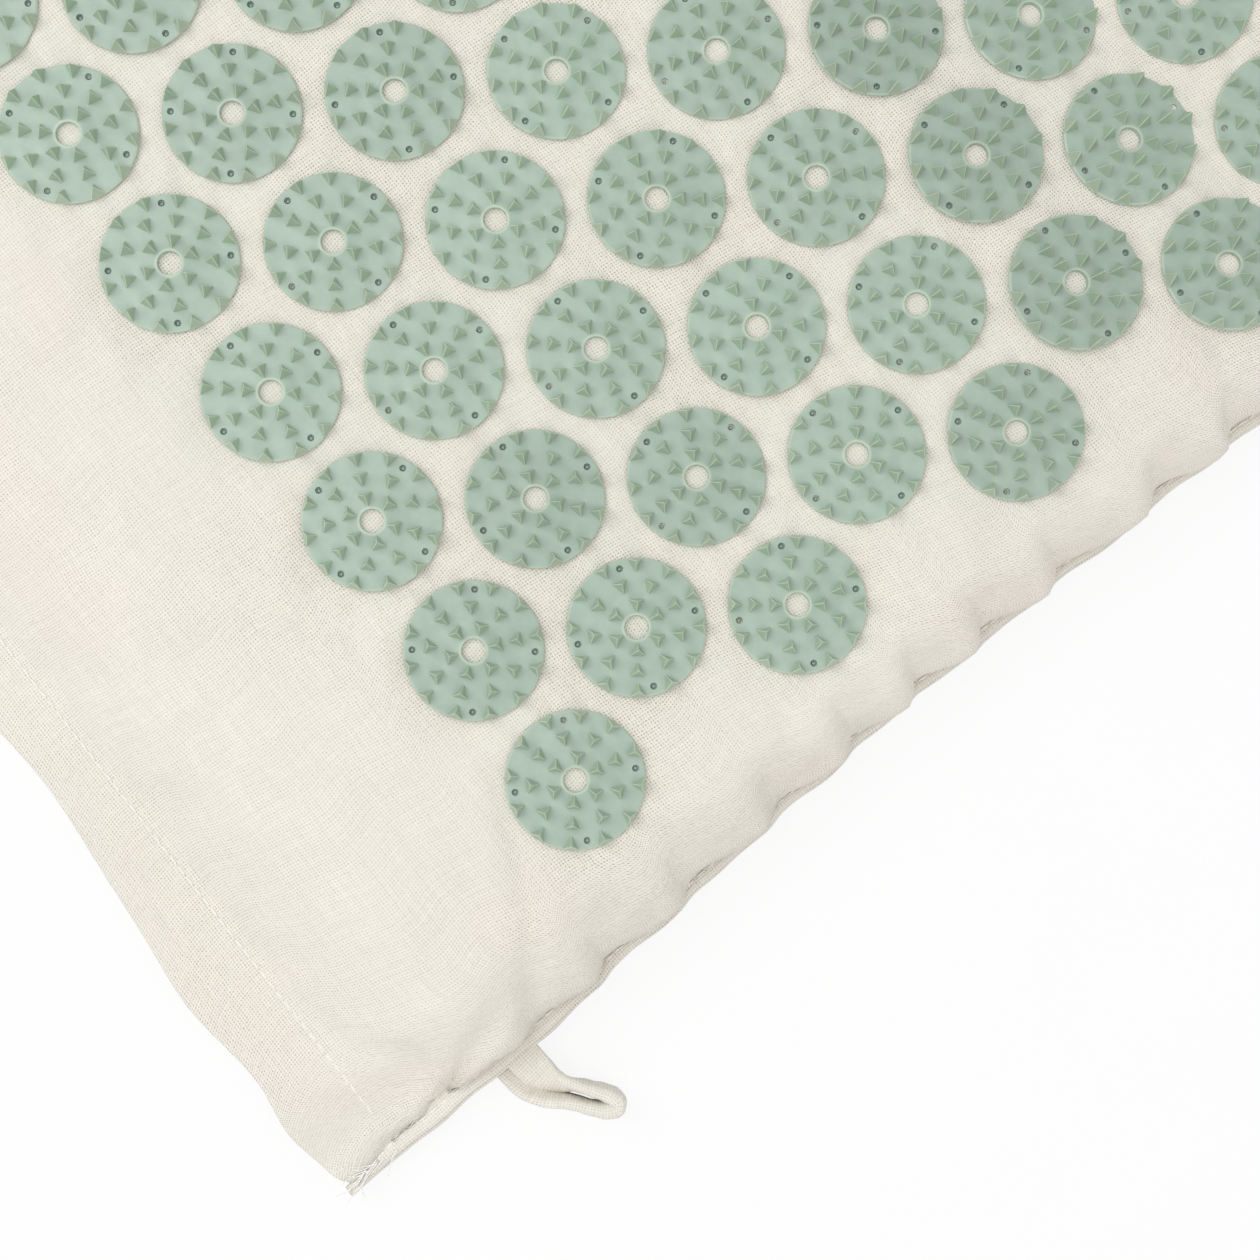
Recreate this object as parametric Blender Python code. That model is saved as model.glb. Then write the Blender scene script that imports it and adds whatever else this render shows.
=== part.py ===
"""Acupressure mat: a cloth cover over a foam slab, with rows of spiked discs clamped through its
front cloth, a welt sewn round three sides, a lip that closes the fourth and a loop to hang it by.

Lengths are in metres. X runs along the mat from its open end to its closed end, Y across it and
Z up. The origin is the middle of the underside. near is the -Y side, which carries the loop.
"""

import math
from collections import namedtuple

import bmesh
import bpy
from mathutils import Vector

# Whole mat
mat_length = 0.680
mat_width = 0.410
fit_gap = 0.0003
weld_distance = 0.00001

# Cover cloth and foam
cloth_thickness = 0.0006
foam_thickness = 0.020
foam_corner_radius = 0.016
foam_corner_segments = 4
foam_end_inset = 0.034
foam_side_gap = 0.0012

# Discs and the slices of cloth that they are clamped through
disc_diameter = 0.027
disc_spacing = 0.0314
disc_thickness = 0.0016
point_height = 0.0034
points_per_disc = 9
point_place_share = 0.66
first_row_inset = 0.0853
slice_end_margin = 0.001
least_side_roll = 0.012
least_end_margin = 0.060

# Sewn sides
welt_reach = 0.0025
welt_grip = 0.0010
welt_thickness = 0.0016
welt_segments = 12
seam_height = 0.0065
seam_settle_length = 0.060
settle_segments = 8
overhang_mean = 0.0012
overhang_swing = 0.0008
roll_segments = 3
end_slope_length = 0.0285
end_slope_segments = 4
end_columns = 6
back_roll_width = 0.014

# Closing lip at the open end
lip_width = 0.0135
tape_width = 0.0105
tape_thickness = 0.0009
tape_edge_round = 0.0003
edge_round_segments = 2

# Hanging loop
loop_root_inset = 0.042
loop_reach = 0.0228
loop_lean = 0.0093
loop_tape_width = 0.0070
loop_tape_thickness = 0.0011
loop_root_slit = 0.0004
loop_tip_slit = 0.0034
loop_tip_height = 0.0048
loop_twist_degrees = 68
loop_leg_segments = 6
loop_tip_segments = 6

# Sizes that follow
row_spacing = disc_spacing * math.sqrt(3) / 2
row_half_spacing = row_spacing / 2
disc_span = mat_width - 2 * (welt_reach + least_side_roll + slice_end_margin) - disc_diameter
discs_in_long_row = int(disc_span / disc_spacing) + 1
row_span = mat_length - first_row_inset - row_half_spacing - least_end_margin
row_count = int(row_span / row_spacing) + 1
slice_half_width = (discs_in_long_row - 1) * disc_spacing / 2 + disc_diameter / 2 + slice_end_margin
first_row_x = first_row_inset - mat_length / 2
last_row_x = first_row_x + (row_count - 1) * row_spacing
field_start_x = first_row_x - row_half_spacing - fit_gap
field_end_x = last_row_x + row_half_spacing + fit_gap
field_half_width = slice_half_width + fit_gap
open_edge_x = -mat_length / 2
lip_line_x = open_edge_x + lip_width
seam_x = mat_length / 2 - welt_reach
seam_y = mat_width / 2 - welt_reach
roll_width = seam_y - field_half_width
foam_bottom = cloth_thickness + fit_gap
cover_top = foam_bottom + foam_thickness + fit_gap + cloth_thickness
hem_thickness = 2 * cloth_thickness
loop_tape_bottom = hem_thickness + fit_gap
hook_tape_bottom = loop_tape_bottom + tape_thickness + fit_gap
lip_bottom = hook_tape_bottom + tape_thickness + fit_gap
lip_top = lip_bottom + hem_thickness
lip_half_width = seam_y - welt_grip - fit_gap
corner_seam_height = lip_top / 2
# The cloths meet the welt at any slant, so their outer faces end a cloth's thickness off it.
seam_clearance = welt_thickness / 2 + fit_gap + cloth_thickness

# A station is a place along or across the cover. Its roll share runs from 0 at a seam to 1 where
# the cloth has left its rounded side, and its side is the sign of the seam that it rolls down to.
Station = namedtuple("Station", "place roll_share side")


def clear_scene():
    for item in list(bpy.data.objects):
        bpy.data.objects.remove(item, do_unlink=True)


def plain_material(name, colour, roughness, metallic=0.0):
    material = bpy.data.materials.new(name)
    material.use_nodes = True
    shader = material.node_tree.nodes["Principled BSDF"]
    shader.inputs["Base Color"].default_value = (*colour, 1)
    shader.inputs["Roughness"].default_value = roughness
    shader.inputs["Metallic"].default_value = metallic
    return material


def mesh_from(build, name, closed=True):
    """A mesh named name, made by build in a bmesh. A closed one has its normals turned outwards."""
    shape = bmesh.new()
    build(shape)
    bmesh.ops.remove_doubles(shape, verts=shape.verts, dist=weld_distance)
    if closed:
        bmesh.ops.recalc_face_normals(shape, faces=shape.faces)
    mesh = bpy.data.meshes.new(name)
    shape.to_mesh(mesh)
    shape.free()
    return mesh


def add_object(name, mesh, material, location=(0, 0, 0)):
    item = bpy.data.objects.new(name, mesh)
    item.location = location
    if not mesh.materials:
        mesh.materials.append(material)
    bpy.context.scene.collection.objects.link(item)
    return item


def add_box(shape, low, high):
    """A box between two corners, in the bmesh shape."""
    low, high = Vector(low), Vector(high)
    made = bmesh.ops.create_cube(shape, size=1)
    bmesh.ops.scale(shape, vec=high - low, verts=made["verts"])
    bmesh.ops.translate(shape, vec=(low + high) / 2, verts=made["verts"])


def round_edges(item, width):
    bevel = item.modifiers.new("rounded edges", "BEVEL")
    bevel.width = width
    bevel.segments = edge_round_segments
    bevel.limit_method = "ANGLE"
    item.data.shade_smooth()
    item.data.set_sharp_from_angle(angle=math.radians(50))


def smooth_step(share):
    share = min(max(share, 0), 1)
    return share * share * (3 - 2 * share)


def blend(start, end, share):
    return start + (end - start) * share


def seam_height_at(x, y):
    """Height of the middle of the welt. It comes down to half the lip's height at each corner."""
    to_lip = x - lip_line_x
    to_corner = max(seam_x - x, seam_y - abs(y))
    rise = smooth_step(min(to_lip, to_corner) / seam_settle_length)
    return blend(corner_seam_height, seam_height, rise)


def overhang_at(place, start, end):
    """How far the front cloth bulges past its seam at a place between two corners of the cover."""
    settled = smooth_step(min(place - start, end - place) / seam_settle_length)
    wave = math.cos(2 * math.pi * (place - field_start_x) / row_spacing)
    return settled * (overhang_mean + overhang_swing * wave)


def front_roll(share, overhang):
    """Inward distance from the seam and share of the rise, on an elliptic side that overhangs."""
    reach = roll_width + overhang
    seam_angle = -math.acos(roll_width / reach)
    angle = blend(seam_angle, math.pi / 2, share)
    inward = roll_width - reach * math.cos(angle)
    rise = (math.sin(angle) - math.sin(seam_angle)) / (1 - math.sin(seam_angle))
    return inward, rise


def back_roll(share):
    """Inward distance from the seam and share of the fall, on the back cloth's rounded side."""
    angle = share * math.pi / 2
    return back_roll_width * (1 - math.cos(angle)), math.sin(angle)


def front_point(along, across):
    """A point of the front cloth's outer face."""
    x, y = along.place, across.place
    rise_along = rise_across = 1
    if along.roll_share < 1:
        overhang = overhang_at(across.place, -seam_y, seam_y)
        inward, rise_along = front_roll(along.roll_share, overhang)
        x = seam_x - inward
    if across.roll_share < 1:
        overhang = overhang_at(along.place, lip_line_x, seam_x)
        inward, rise_across = front_roll(across.roll_share, overhang)
        y = across.side * (seam_y - inward)
    slope = smooth_step((x - lip_line_x) / end_slope_length)
    roof = blend(lip_top, cover_top, slope)
    seam = seam_height_at(x, y) + seam_clearance
    return Vector((x, y, blend(seam, roof, rise_along * rise_across)))


def back_point(along, across):
    """A point of the back cloth's outer face, which lies on the ground inside its rounded sides."""
    x, y = along.place, across.place
    fall_along = fall_across = 1
    if along.roll_share < 1:
        inward, fall_along = back_roll(along.roll_share)
        x = seam_x - inward
    if across.roll_share < 1:
        inward, fall_across = back_roll(across.roll_share)
        y = across.side * (seam_y - inward)
    seam = seam_height_at(x, y) - seam_clearance
    return Vector((x, y, blend(seam, 0, fall_along * fall_across)))


def flat_stations(start, end, count):
    return [Station(blend(start, end, step / count), 1, 0) for step in range(count + 1)]


def roll_stations(side, top_place):
    """Stations from a seam, at share 0, up to where its rounded side ends."""
    return [Station(top_place, step / roll_segments, side) for step in range(roll_segments + 1)]


def steps_between(start, end):
    """Half puckers that fit between two places."""
    return max(round((end - start) / row_half_spacing), 1)


def add_sheet(shape, point, along_stations, across_stations, facing=1):
    """Quads through point(along, across) at each pair of stations, facing up, or down at -1."""
    rows = []
    for along in along_stations:
        rows.append([shape.verts.new(point(along, across)) for across in across_stations])
    for row, next_row in zip(rows, rows[1:]):
        for index in range(len(row) - 1):
            corners = (row[index], next_row[index], next_row[index + 1], row[index + 1])
            shape.faces.new(corners[::facing])


def lofted_mesh(name, sections):
    """A closed solid through sections with as many corners each, every one listed in turn."""
    def build(shape):
        rings = [[shape.verts.new(corner) for corner in corners] for corners in sections]
        for ring, next_ring in zip(rings, rings[1:]):
            for index in range(len(ring)):
                after = (index + 1) % len(ring)
                shape.faces.new((ring[index], ring[after], next_ring[after], next_ring[index]))
        shape.faces.new(rings[0])
        shape.faces.new(rings[-1])

    return mesh_from(build, name)


def thicken(item, thickness):
    """Gives a sheet its thickness on the inner side of its faces."""
    wall = item.modifiers.new("cloth thickness", "SOLIDIFY")
    wall.thickness = thickness
    wall.offset = -1
    wall.use_even_offset = True


def make_foam_pad(material):
    """A slab with rounded sides that follow the cover, one cloth and one gap inside it. They clear
    the back cloth where its seams are high and the front cloth where they are low."""
    face_inset = cloth_thickness + fit_gap
    side_inset = cloth_thickness + foam_side_gap
    least_overhang = overhang_mean - overhang_swing
    back_seam = seam_height - seam_clearance
    front_seam = corner_seam_height + seam_clearance
    levels = []
    for step in range(roll_segments, 0, -1):
        angle = step / roll_segments * math.pi / 2
        inward, fall = back_roll(step / roll_segments)
        height = blend(back_seam, 0, fall)
        levels.append((inward + side_inset * math.cos(angle), height + face_inset * math.sin(angle)))
    for step in range(1, roll_segments + 1):
        angle = blend(0, math.pi / 2, step / roll_segments)
        inward, rise = front_roll(step / roll_segments, least_overhang)
        height = blend(front_seam, cover_top, rise)
        levels.append((inward + side_inset * math.cos(angle), height - face_inset * math.sin(angle)))

    def outline(inward, height):
        """A rectangle with rounded corners, one quarter turn after the other."""
        low_x = open_edge_x + foam_end_inset + inward + foam_corner_radius
        high_x = seam_x - inward - foam_corner_radius
        high_y = seam_y - inward - foam_corner_radius
        centres = ((high_x, high_y), (low_x, high_y), (low_x, -high_y), (high_x, -high_y))
        points = []
        for quarter, (x, y) in enumerate(centres):
            for step in range(foam_corner_segments + 1):
                turn = (quarter + step / foam_corner_segments) * math.pi / 2
                offset = foam_corner_radius * Vector((math.cos(turn), math.sin(turn), 0))
                points.append(Vector((x, y, height)) + offset)
        return points

    sections = [outline(inward, height) for inward, height in levels]
    return add_object("foam_pad", lofted_mesh("foam_pad", sections), material)


def make_back_panel(material):
    """The cloth that the mat lies on, with its open end folded into a hem."""
    flat_x = seam_x - back_roll_width
    flat_y = seam_y - back_roll_width
    along = flat_stations(open_edge_x, lip_line_x, 1)
    along += flat_stations(lip_line_x, lip_line_x + seam_settle_length, settle_segments)[1:]
    along += flat_stations(seam_x - seam_settle_length, flat_x, settle_segments)
    along += roll_stations(1, flat_x)[-2::-1]
    across = roll_stations(-1, -flat_y)
    across += flat_stations(-flat_y, seam_settle_length - seam_y, settle_segments)[1:]
    across += flat_stations(seam_y - seam_settle_length, flat_y, settle_segments)[:-1]
    across += roll_stations(1, flat_y)[::-1]

    def build(shape):
        add_sheet(shape, back_point, along, across, facing=-1)

    panel = add_object("back_panel", mesh_from(build, "back_panel", closed=False), material)
    thicken(panel, cloth_thickness)

    def build_hem(shape):
        low = (open_edge_x, -lip_half_width, cloth_thickness / 2)
        add_box(shape, low, (lip_line_x, lip_half_width, hem_thickness))

    fold = add_object("back_hem_fold", mesh_from(build_hem, "back_hem_fold"), material)
    fold.hide_render = True
    fold.display_type = "WIRE"
    join = panel.modifiers.new("folded hem", "BOOLEAN")
    join.operation = "UNION"
    join.object = fold
    return panel


def make_front_panel(material):
    """The front cloth round the field of discs: a flat edge that rolls down to puckered seams on
    three sides, and slopes down to the lip at the open end."""
    slope_end_x = lip_line_x + end_slope_length
    roll_top_x = seam_x - roll_width
    slope = flat_stations(lip_line_x, slope_end_x, end_slope_segments)
    slope += flat_stations(slope_end_x, field_start_x, steps_between(slope_end_x, field_start_x))[1:]
    beside_field = flat_stations(field_start_x, field_end_x, steps_between(field_start_x, field_end_x))
    closed_end = flat_stations(field_end_x, roll_top_x, steps_between(field_end_x, roll_top_x))
    closed_end += roll_stations(1, roll_top_x)[-2::-1]
    near = roll_stations(-1, -field_half_width)
    far = roll_stations(1, field_half_width)[::-1]
    middle_open = flat_stations(-field_half_width, field_half_width, end_columns)
    middle_closed = flat_stations(-field_half_width, field_half_width,
                                  steps_between(-field_half_width, field_half_width))

    def build(shape):
        for side in (near, far):
            add_sheet(shape, front_point, slope, side)
            add_sheet(shape, front_point, beside_field, side)
            add_sheet(shape, front_point, closed_end, side)
        add_sheet(shape, front_point, slope, middle_open)
        add_sheet(shape, front_point, closed_end, middle_closed)

    panel = add_object("front_panel", mesh_from(build, "front_panel", closed=False), material)
    thicken(panel, cloth_thickness)
    return panel


def add_disc(shape, y):
    """One disc, sunk halfway into its cloth. Each sector of its top rises to a point, and each of
    these points stands for three of the real disc's spikes, one in each of its three rings."""
    radius = disc_diameter / 2
    turn = 2 * math.pi / points_per_disc

    def at(place, angle, height):
        return Vector((place * math.sin(angle), y + place * math.cos(angle), height))

    def ring(place, lead, height):
        angles = [turn * (index + lead) for index in range(points_per_disc)]
        return [shape.verts.new(at(place, angle, height)) for angle in angles]

    bottom = ring(radius, 0, -cloth_thickness / 2)
    rim = ring(radius, 0, disc_thickness)
    points = ring(point_place_share * radius, 1 / 2, disc_thickness + point_height)
    middle = shape.verts.new(at(0, 0, disc_thickness))
    shape.faces.new(bottom)
    for index, point in enumerate(points):
        after = (index + 1) % points_per_disc
        shape.faces.new((bottom[index], rim[index], rim[after], bottom[after]))
        shape.faces.new((rim[index], point, rim[after]))
        shape.faces.new((rim[index], middle, point))
        shape.faces.new((rim[after], point, middle))


def row_mesh(name, disc_count, material):
    """A slice of the front cloth joined with its row of discs. Its top face is at height 0."""
    def build_slice(shape):
        half_depth = row_half_spacing - fit_gap / 2
        low = (-half_depth, -slice_half_width, -cloth_thickness)
        add_box(shape, low, (half_depth, slice_half_width, 0))

    def build_discs(shape):
        for index in range(disc_count):
            add_disc(shape, (index - (disc_count - 1) / 2) * disc_spacing)

    cloth = add_object(name + "_slice", mesh_from(build_slice, name + "_slice"), material)
    discs = add_object(name + "_discs", mesh_from(build_discs, name + "_discs"), material)
    join = cloth.modifiers.new("clamped discs", "BOOLEAN")
    join.operation = "UNION"
    join.object = discs
    graph = bpy.context.evaluated_depsgraph_get()
    mesh = bpy.data.meshes.new_from_object(cloth.evaluated_get(graph))
    mesh.name = name
    for helper in (cloth, discs):
        bpy.data.objects.remove(helper, do_unlink=True)
    return mesh


def make_disc_rows(material):
    """The rows run across the mat, the longer and the shorter ones in turn, half a space apart."""
    long_row = row_mesh("long_row", discs_in_long_row, material)
    short_row = row_mesh("short_row", discs_in_long_row - 1, material)
    for index in range(row_count):
        mesh = short_row if index % 2 else long_row
        place = (first_row_x + index * row_spacing, 0, cover_top)
        add_object(f"disc_row_{index + 1:02d}", mesh, material, place)


def make_welts(material):
    """The folded and topstitched seam edge, in one strip for each sewn side."""
    half = welt_thickness / 2
    inner_x, outer_x = seam_x - welt_grip, mat_length / 2
    inner_y, outer_y = seam_y - welt_grip, mat_width / 2

    def places(start, end):
        """Close together where the seam settles to its corners, and far apart between."""
        ends = [seam_settle_length * step / welt_segments for step in range(welt_segments + 1)]
        return [start + place for place in ends] + [end - place for place in reversed(ends)]

    for name, side in (("near_welt", -1), ("far_welt", 1)):
        xs = [open_edge_x] + places(lip_line_x, outer_x)
        sections = []
        for x in xs:
            height = seam_height_at(min(x, seam_x), side * seam_y)
            sections.append([(x, side * inner_y, height - half), (x, side * outer_y, height - half),
                             (x, side * outer_y, height + half), (x, side * inner_y, height + half)])
        add_object(name, lofted_mesh(name, sections), material)
    reach = inner_y - fit_gap
    sections = []
    for y in places(-reach, reach):
        height = seam_height_at(seam_x, y)
        sections.append([(inner_x, y, height - half), (outer_x, y, height - half),
                         (outer_x, y, height + half), (inner_x, y, height + half)])
    add_object("end_welt", lofted_mesh("end_welt", sections), material)


def make_closing_lip(cloth, tape):
    """The front cloth's hem, which lifts, and the two tapes that hold it to the back cloth's hem."""
    hinge_gap_x = lip_line_x - fit_gap

    def box(low, high):
        return lambda shape: add_box(shape, low, high)

    hinge = bpy.data.objects.new("lip_hinge", None)
    hinge.location = (hinge_gap_x, 0, lip_top)
    bpy.context.scene.collection.objects.link(hinge)
    low = (open_edge_x - hinge_gap_x, -lip_half_width, lip_bottom - lip_top)
    lip = add_object("closing_lip", mesh_from(box(low, (0, lip_half_width, 0)), "closing_lip"), cloth)
    tape_end = hinge_gap_x - open_edge_x - tape_width
    hook_low = (-tape_width - tape_end / 2, -lip_half_width + tape_width, hook_tape_bottom - lip_top)
    hook_high = (-tape_end / 2, lip_half_width - tape_width, hook_tape_bottom + tape_thickness - lip_top)
    hook = add_object("hook_tape", mesh_from(box(hook_low, hook_high), "hook_tape"), tape)
    for item in (lip, hook):
        item.parent = hinge
    loop_low = (hook_low[0], hook_low[1], loop_tape_bottom)
    loop_high = (hook_high[0], hook_high[1], loop_tape_bottom + tape_thickness)
    loop_mesh = mesh_from(box(loop_low, loop_high), "loop_tape")
    loops = add_object("loop_tape", loop_mesh, tape, (hinge_gap_x, 0, 0))
    for item in (lip, hook, loops):
        round_edges(item, tape_edge_round)


def loop_sections():
    """Sections along the hanging loop's tape, out along one leg and back along the other. The legs
    lie flat on each other at the root and turn nearly on edge towards the tip, where they open."""
    root_height = seam_height_at(loop_root_inset + open_edge_x, -seam_y)
    direction = Vector((loop_lean, -loop_reach, loop_tip_height - root_height))
    leg_share = 1 - (loop_tip_slit / 2 + loop_tape_thickness) / direction.length

    def frame_at(share):
        """Centre between the legs, their spreading direction and half their slit."""
        twist = math.radians(loop_twist_degrees) * smooth_step(share)
        forward = direction.normalized()
        sideways = forward.cross(Vector((0, 0, 1))).normalized()
        spread = sideways.cross(forward) * math.cos(twist) - sideways * math.sin(twist)
        half_slit = blend(loop_root_slit, loop_tip_slit, smooth_step(share) ** 2) / 2
        return direction * leg_share * share, spread, half_slit

    def section(share, turn):
        centre, spread, half_slit = frame_at(share)
        forward = direction.normalized()
        outward = spread * math.cos(turn) + forward * math.sin(turn)
        along_width = forward.cross(spread) * loop_tape_width / 2
        inner = centre + outward * half_slit
        outer = inner + outward * loop_tape_thickness
        return [inner - along_width, outer - along_width, outer + along_width, inner + along_width]

    out = [section(step / loop_leg_segments, 0) for step in range(loop_leg_segments)]
    tip = [section(1, math.pi * step / loop_tip_segments) for step in range(loop_tip_segments + 1)]
    back = [section(step / loop_leg_segments, math.pi) for step in range(loop_leg_segments - 1, -1, -1)]
    return out + tip + back


def make_hanging_loop(material):
    """The folded tape caught in the near seam. Its hinge stands at the top of its root."""
    root_x = open_edge_x + loop_root_inset
    root_height = seam_height_at(root_x, -seam_y)
    rise = loop_root_slit / 2 + loop_tape_thickness
    hinge = bpy.data.objects.new("loop_hinge", None)
    hinge.location = (root_x, -mat_width / 2 - fit_gap, root_height + rise)
    bpy.context.scene.collection.objects.link(hinge)
    mesh = lofted_mesh("hanging_loop", loop_sections())
    loop = add_object("hanging_loop", mesh, material)
    lowered = max(vertex.co.y for vertex in mesh.vertices)
    loop.location = (0, -lowered, -rise)
    loop.parent = hinge
    return loop


def main():
    clear_scene()
    cover_cloth = plain_material("cover cloth", (0.84, 0.81, 0.71), 0.9)
    make_foam_pad(plain_material("foam", (0.80, 0.78, 0.70), 0.95))
    make_back_panel(cover_cloth)
    make_front_panel(cover_cloth)
    make_disc_rows(plain_material("disc plastic", (0.47, 0.61, 0.53), 0.38))
    make_welts(cover_cloth)
    make_closing_lip(cover_cloth, plain_material("closure tape", (0.78, 0.76, 0.68), 0.8))
    make_hanging_loop(plain_material("loop tape", (0.83, 0.80, 0.71), 0.85))


main()
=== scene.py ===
"""Looks of an acupressure mat: an undyed cotton cover over foam, with rows of spiked plastic discs.

Lengths are in metres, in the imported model's frame. X runs from the open end to the closed end, Y
across the mat and Z up. The near side is the -Y side, which carries the hanging loop.
"""

import logging
import math
from dataclasses import dataclass
from enum import Enum
from typing import Any, Callable, Iterable, Optional, Sequence, Union

import bmesh
import bpy
import numpy as np
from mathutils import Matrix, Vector


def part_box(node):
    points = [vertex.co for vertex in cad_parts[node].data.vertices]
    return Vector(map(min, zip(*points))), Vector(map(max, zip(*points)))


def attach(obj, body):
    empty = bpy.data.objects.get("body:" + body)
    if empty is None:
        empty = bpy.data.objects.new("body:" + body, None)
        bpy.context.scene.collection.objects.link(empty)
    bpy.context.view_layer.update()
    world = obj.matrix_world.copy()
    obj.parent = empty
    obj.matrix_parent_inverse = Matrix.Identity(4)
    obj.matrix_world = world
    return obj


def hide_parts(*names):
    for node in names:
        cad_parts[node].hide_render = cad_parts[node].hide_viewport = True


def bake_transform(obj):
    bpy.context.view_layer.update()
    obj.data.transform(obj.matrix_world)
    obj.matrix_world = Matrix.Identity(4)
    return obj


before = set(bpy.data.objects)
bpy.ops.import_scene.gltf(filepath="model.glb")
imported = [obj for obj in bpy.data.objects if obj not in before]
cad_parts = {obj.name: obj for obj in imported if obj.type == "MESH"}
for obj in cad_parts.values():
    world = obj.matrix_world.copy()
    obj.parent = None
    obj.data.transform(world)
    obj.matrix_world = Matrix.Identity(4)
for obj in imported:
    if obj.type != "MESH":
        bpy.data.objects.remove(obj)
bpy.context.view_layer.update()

LOG = logging.getLogger("mat")
# Attribute names: the cloth's flat place, the distance from the nearest disc's rim, and the faces
# that get painted highlights.
PLACE, DISC_REACH, EDGE_HIGHLIGHT = "cloth_place", "disc_reach", "arris"
WHITE = (1.0, 1.0, 1.0, 1.0)
UP = np.array([0.0, 0.0, 1.0])
PIN_COUNT, PIN_RING, PIN_TURN = 4, 0.0117, math.radians(15)
Colour = Point = tuple[float, float, float]
Number = Union["Signal", float]
Item, Mesh, Material = bpy.types.Object, bpy.types.Mesh, bpy.types.Material


class Body(Enum):
    """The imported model's bodies that pieces ride on."""

    MAT = "mat"
    LIP = "lip"
    LOOP = "loop"


class Side(Enum):
    """A long side of the mat, by the sign of its Y."""

    NEAR = -1
    FAR = 1


# ---------------------------------------------------------------- node trees


class Signal:
    """A node's output that can be written in sums. Each operator adds a Math node."""

    def __init__(self, net: "Net", socket: Any) -> None:
        """Keeps the net that the signal belongs to, and its socket."""
        self.net, self.socket = net, socket

    def __getitem__(self, name: str) -> "Signal":
        """Another output of the same node."""
        return Signal(self.net, self.socket.node.outputs[name])

    def math(self, operation: str, *others: Number) -> "Signal":
        """Joins this signal with others in a Math node of that operation."""
        return self.net.add("ShaderNodeMath", dict(enumerate((self, *others))), operation=operation)

    def __add__(self, other: Number) -> "Signal":
        """Sum."""
        return self.math("ADD", other)

    def __sub__(self, other: Number) -> "Signal":
        """Difference."""
        return self.math("SUBTRACT", other)

    def __mul__(self, other: Number) -> "Signal":
        """Product."""
        return self.math("MULTIPLY", other)

    def __truediv__(self, other: Number) -> "Signal":
        """Quotient."""
        return self.math("DIVIDE", other)

    def __rsub__(self, other: float) -> "Signal":
        """Difference from a number."""
        return self.net.add("ShaderNodeMath", {0: other, 1: self}, operation="SUBTRACT")

    __radd__, __rmul__ = __add__, __mul__

    def fraction(self) -> "Signal":
        """What is left after the whole part."""
        return self.math("FRACT")

    def whole(self) -> "Signal":
        """The whole part."""
        return self.math("FLOOR")

    def hump(self) -> "Signal":
        """A rounded hump over each whole step, 0 at its ends and 1 in its middle."""
        return (self.fraction() * math.pi).math("SINE")

    def ramp(self, low: float, high: float, start: float = 0.0, end: float = 1.0) -> "Signal":
        """Eases from start, at low and below, to end, at high and above."""
        values = {"Value": self, "From Min": low, "From Max": high, "To Min": start, "To Max": end}
        return self.net.add("ShaderNodeMapRange", values, interpolation_type="SMOOTHSTEP")


def rgba(colour: Any) -> Any:
    """A colour for a socket: a signal as it is, or three numbers with full alpha."""
    return colour if isinstance(colour, Signal) else (*colour, 1.0)


@dataclass
class Net:
    """A shader or geometry tree under construction."""

    tree: Any

    def feed(self, node: Any, values: dict[Any, Any]) -> None:
        """Gives a node's inputs a value or a signal each.

        Args:
            node: The node.
            values: For each input, by name or index, what it gets.
        """
        for name, value in values.items():
            if isinstance(value, Signal):
                self.tree.links.new(value.socket, node.inputs[name])
            else:
                node.inputs[name].default_value = value

    def add(self, kind: str, values: dict[Any, Any], output: Any = 0, **settings: Any) -> Signal:
        """Adds a node.

        Args:
            kind: The node's type.
            values: A value or a signal for each input, by name or index.
            output: The output that is wanted, by name or index.
            settings: The node's own settings, set before its inputs.

        Returns:
            The output, or a signal without a socket where the node has none.
        """
        node = self.tree.nodes.new(kind)
        for name, value in settings.items():
            setattr(node, name, value)
        self.feed(node, values)
        return Signal(self, node.outputs[output] if len(node.outputs) else None)

    def mix(self, share: Number, first: Any, second: Any) -> Signal:
        """Mixes two colours, each a signal or three numbers."""
        values = {0: share, 6: rgba(first), 7: rgba(second)}
        return self.add("ShaderNodeMix", values, 2, data_type="RGBA")

    def shade(self, colour: Any, share: Number) -> Signal:
        """Multiplies a colour by a share.

        Args:
            colour: A signal or three numbers.
            share: How much of it is kept.

        Returns:
            The shaded colour.
        """
        grey = self.add("ShaderNodeCombineColor", {0: share, 1: share, 2: share})
        values = {0: 1.0, 6: rgba(colour), 7: grey}
        return self.add("ShaderNodeMix", values, 2, data_type="RGBA", blend_type="MULTIPLY")

    def attribute(self, name: str, output: str = "Fac") -> Signal:
        """Reads a mesh attribute in a shader."""
        return self.add("ShaderNodeAttribute", {}, output, attribute_name=name)

    def object_place(self) -> Signal:
        """Object coordinates."""
        return self.add("ShaderNodeTexCoord", {}, "Object")

    def noise(self, place: Signal, scale: float, detail: float = 2.0,
              roughness: float = 0.5) -> Signal:
        """Noise around one half, at that scale."""
        values = {"Vector": place, "Scale": scale, "Detail": detail, "Roughness": roughness}
        return self.add("ShaderNodeTexNoise", values)

    def vector(self, x: Number, y: Number, z: Number = 0.0) -> Signal:
        """Three signals or numbers as one vector."""
        return self.add("ShaderNodeCombineXYZ", {0: x, 1: y, 2: z})

    def parts(self, vector: Signal) -> list[Signal]:
        """The three parts of a vector."""
        made = self.add("ShaderNodeSeparateXYZ", {0: vector})
        return [made[axis] for axis in "XYZ"]

    def bump(self, height: Signal, depth: float, strength: float = 1.0) -> Signal:
        """A bump's normal, where a height of 1 stands that far out."""
        values = {"Height": height, "Distance": depth, "Strength": strength}
        return self.add("ShaderNodeBump", values, "Normal")


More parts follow.
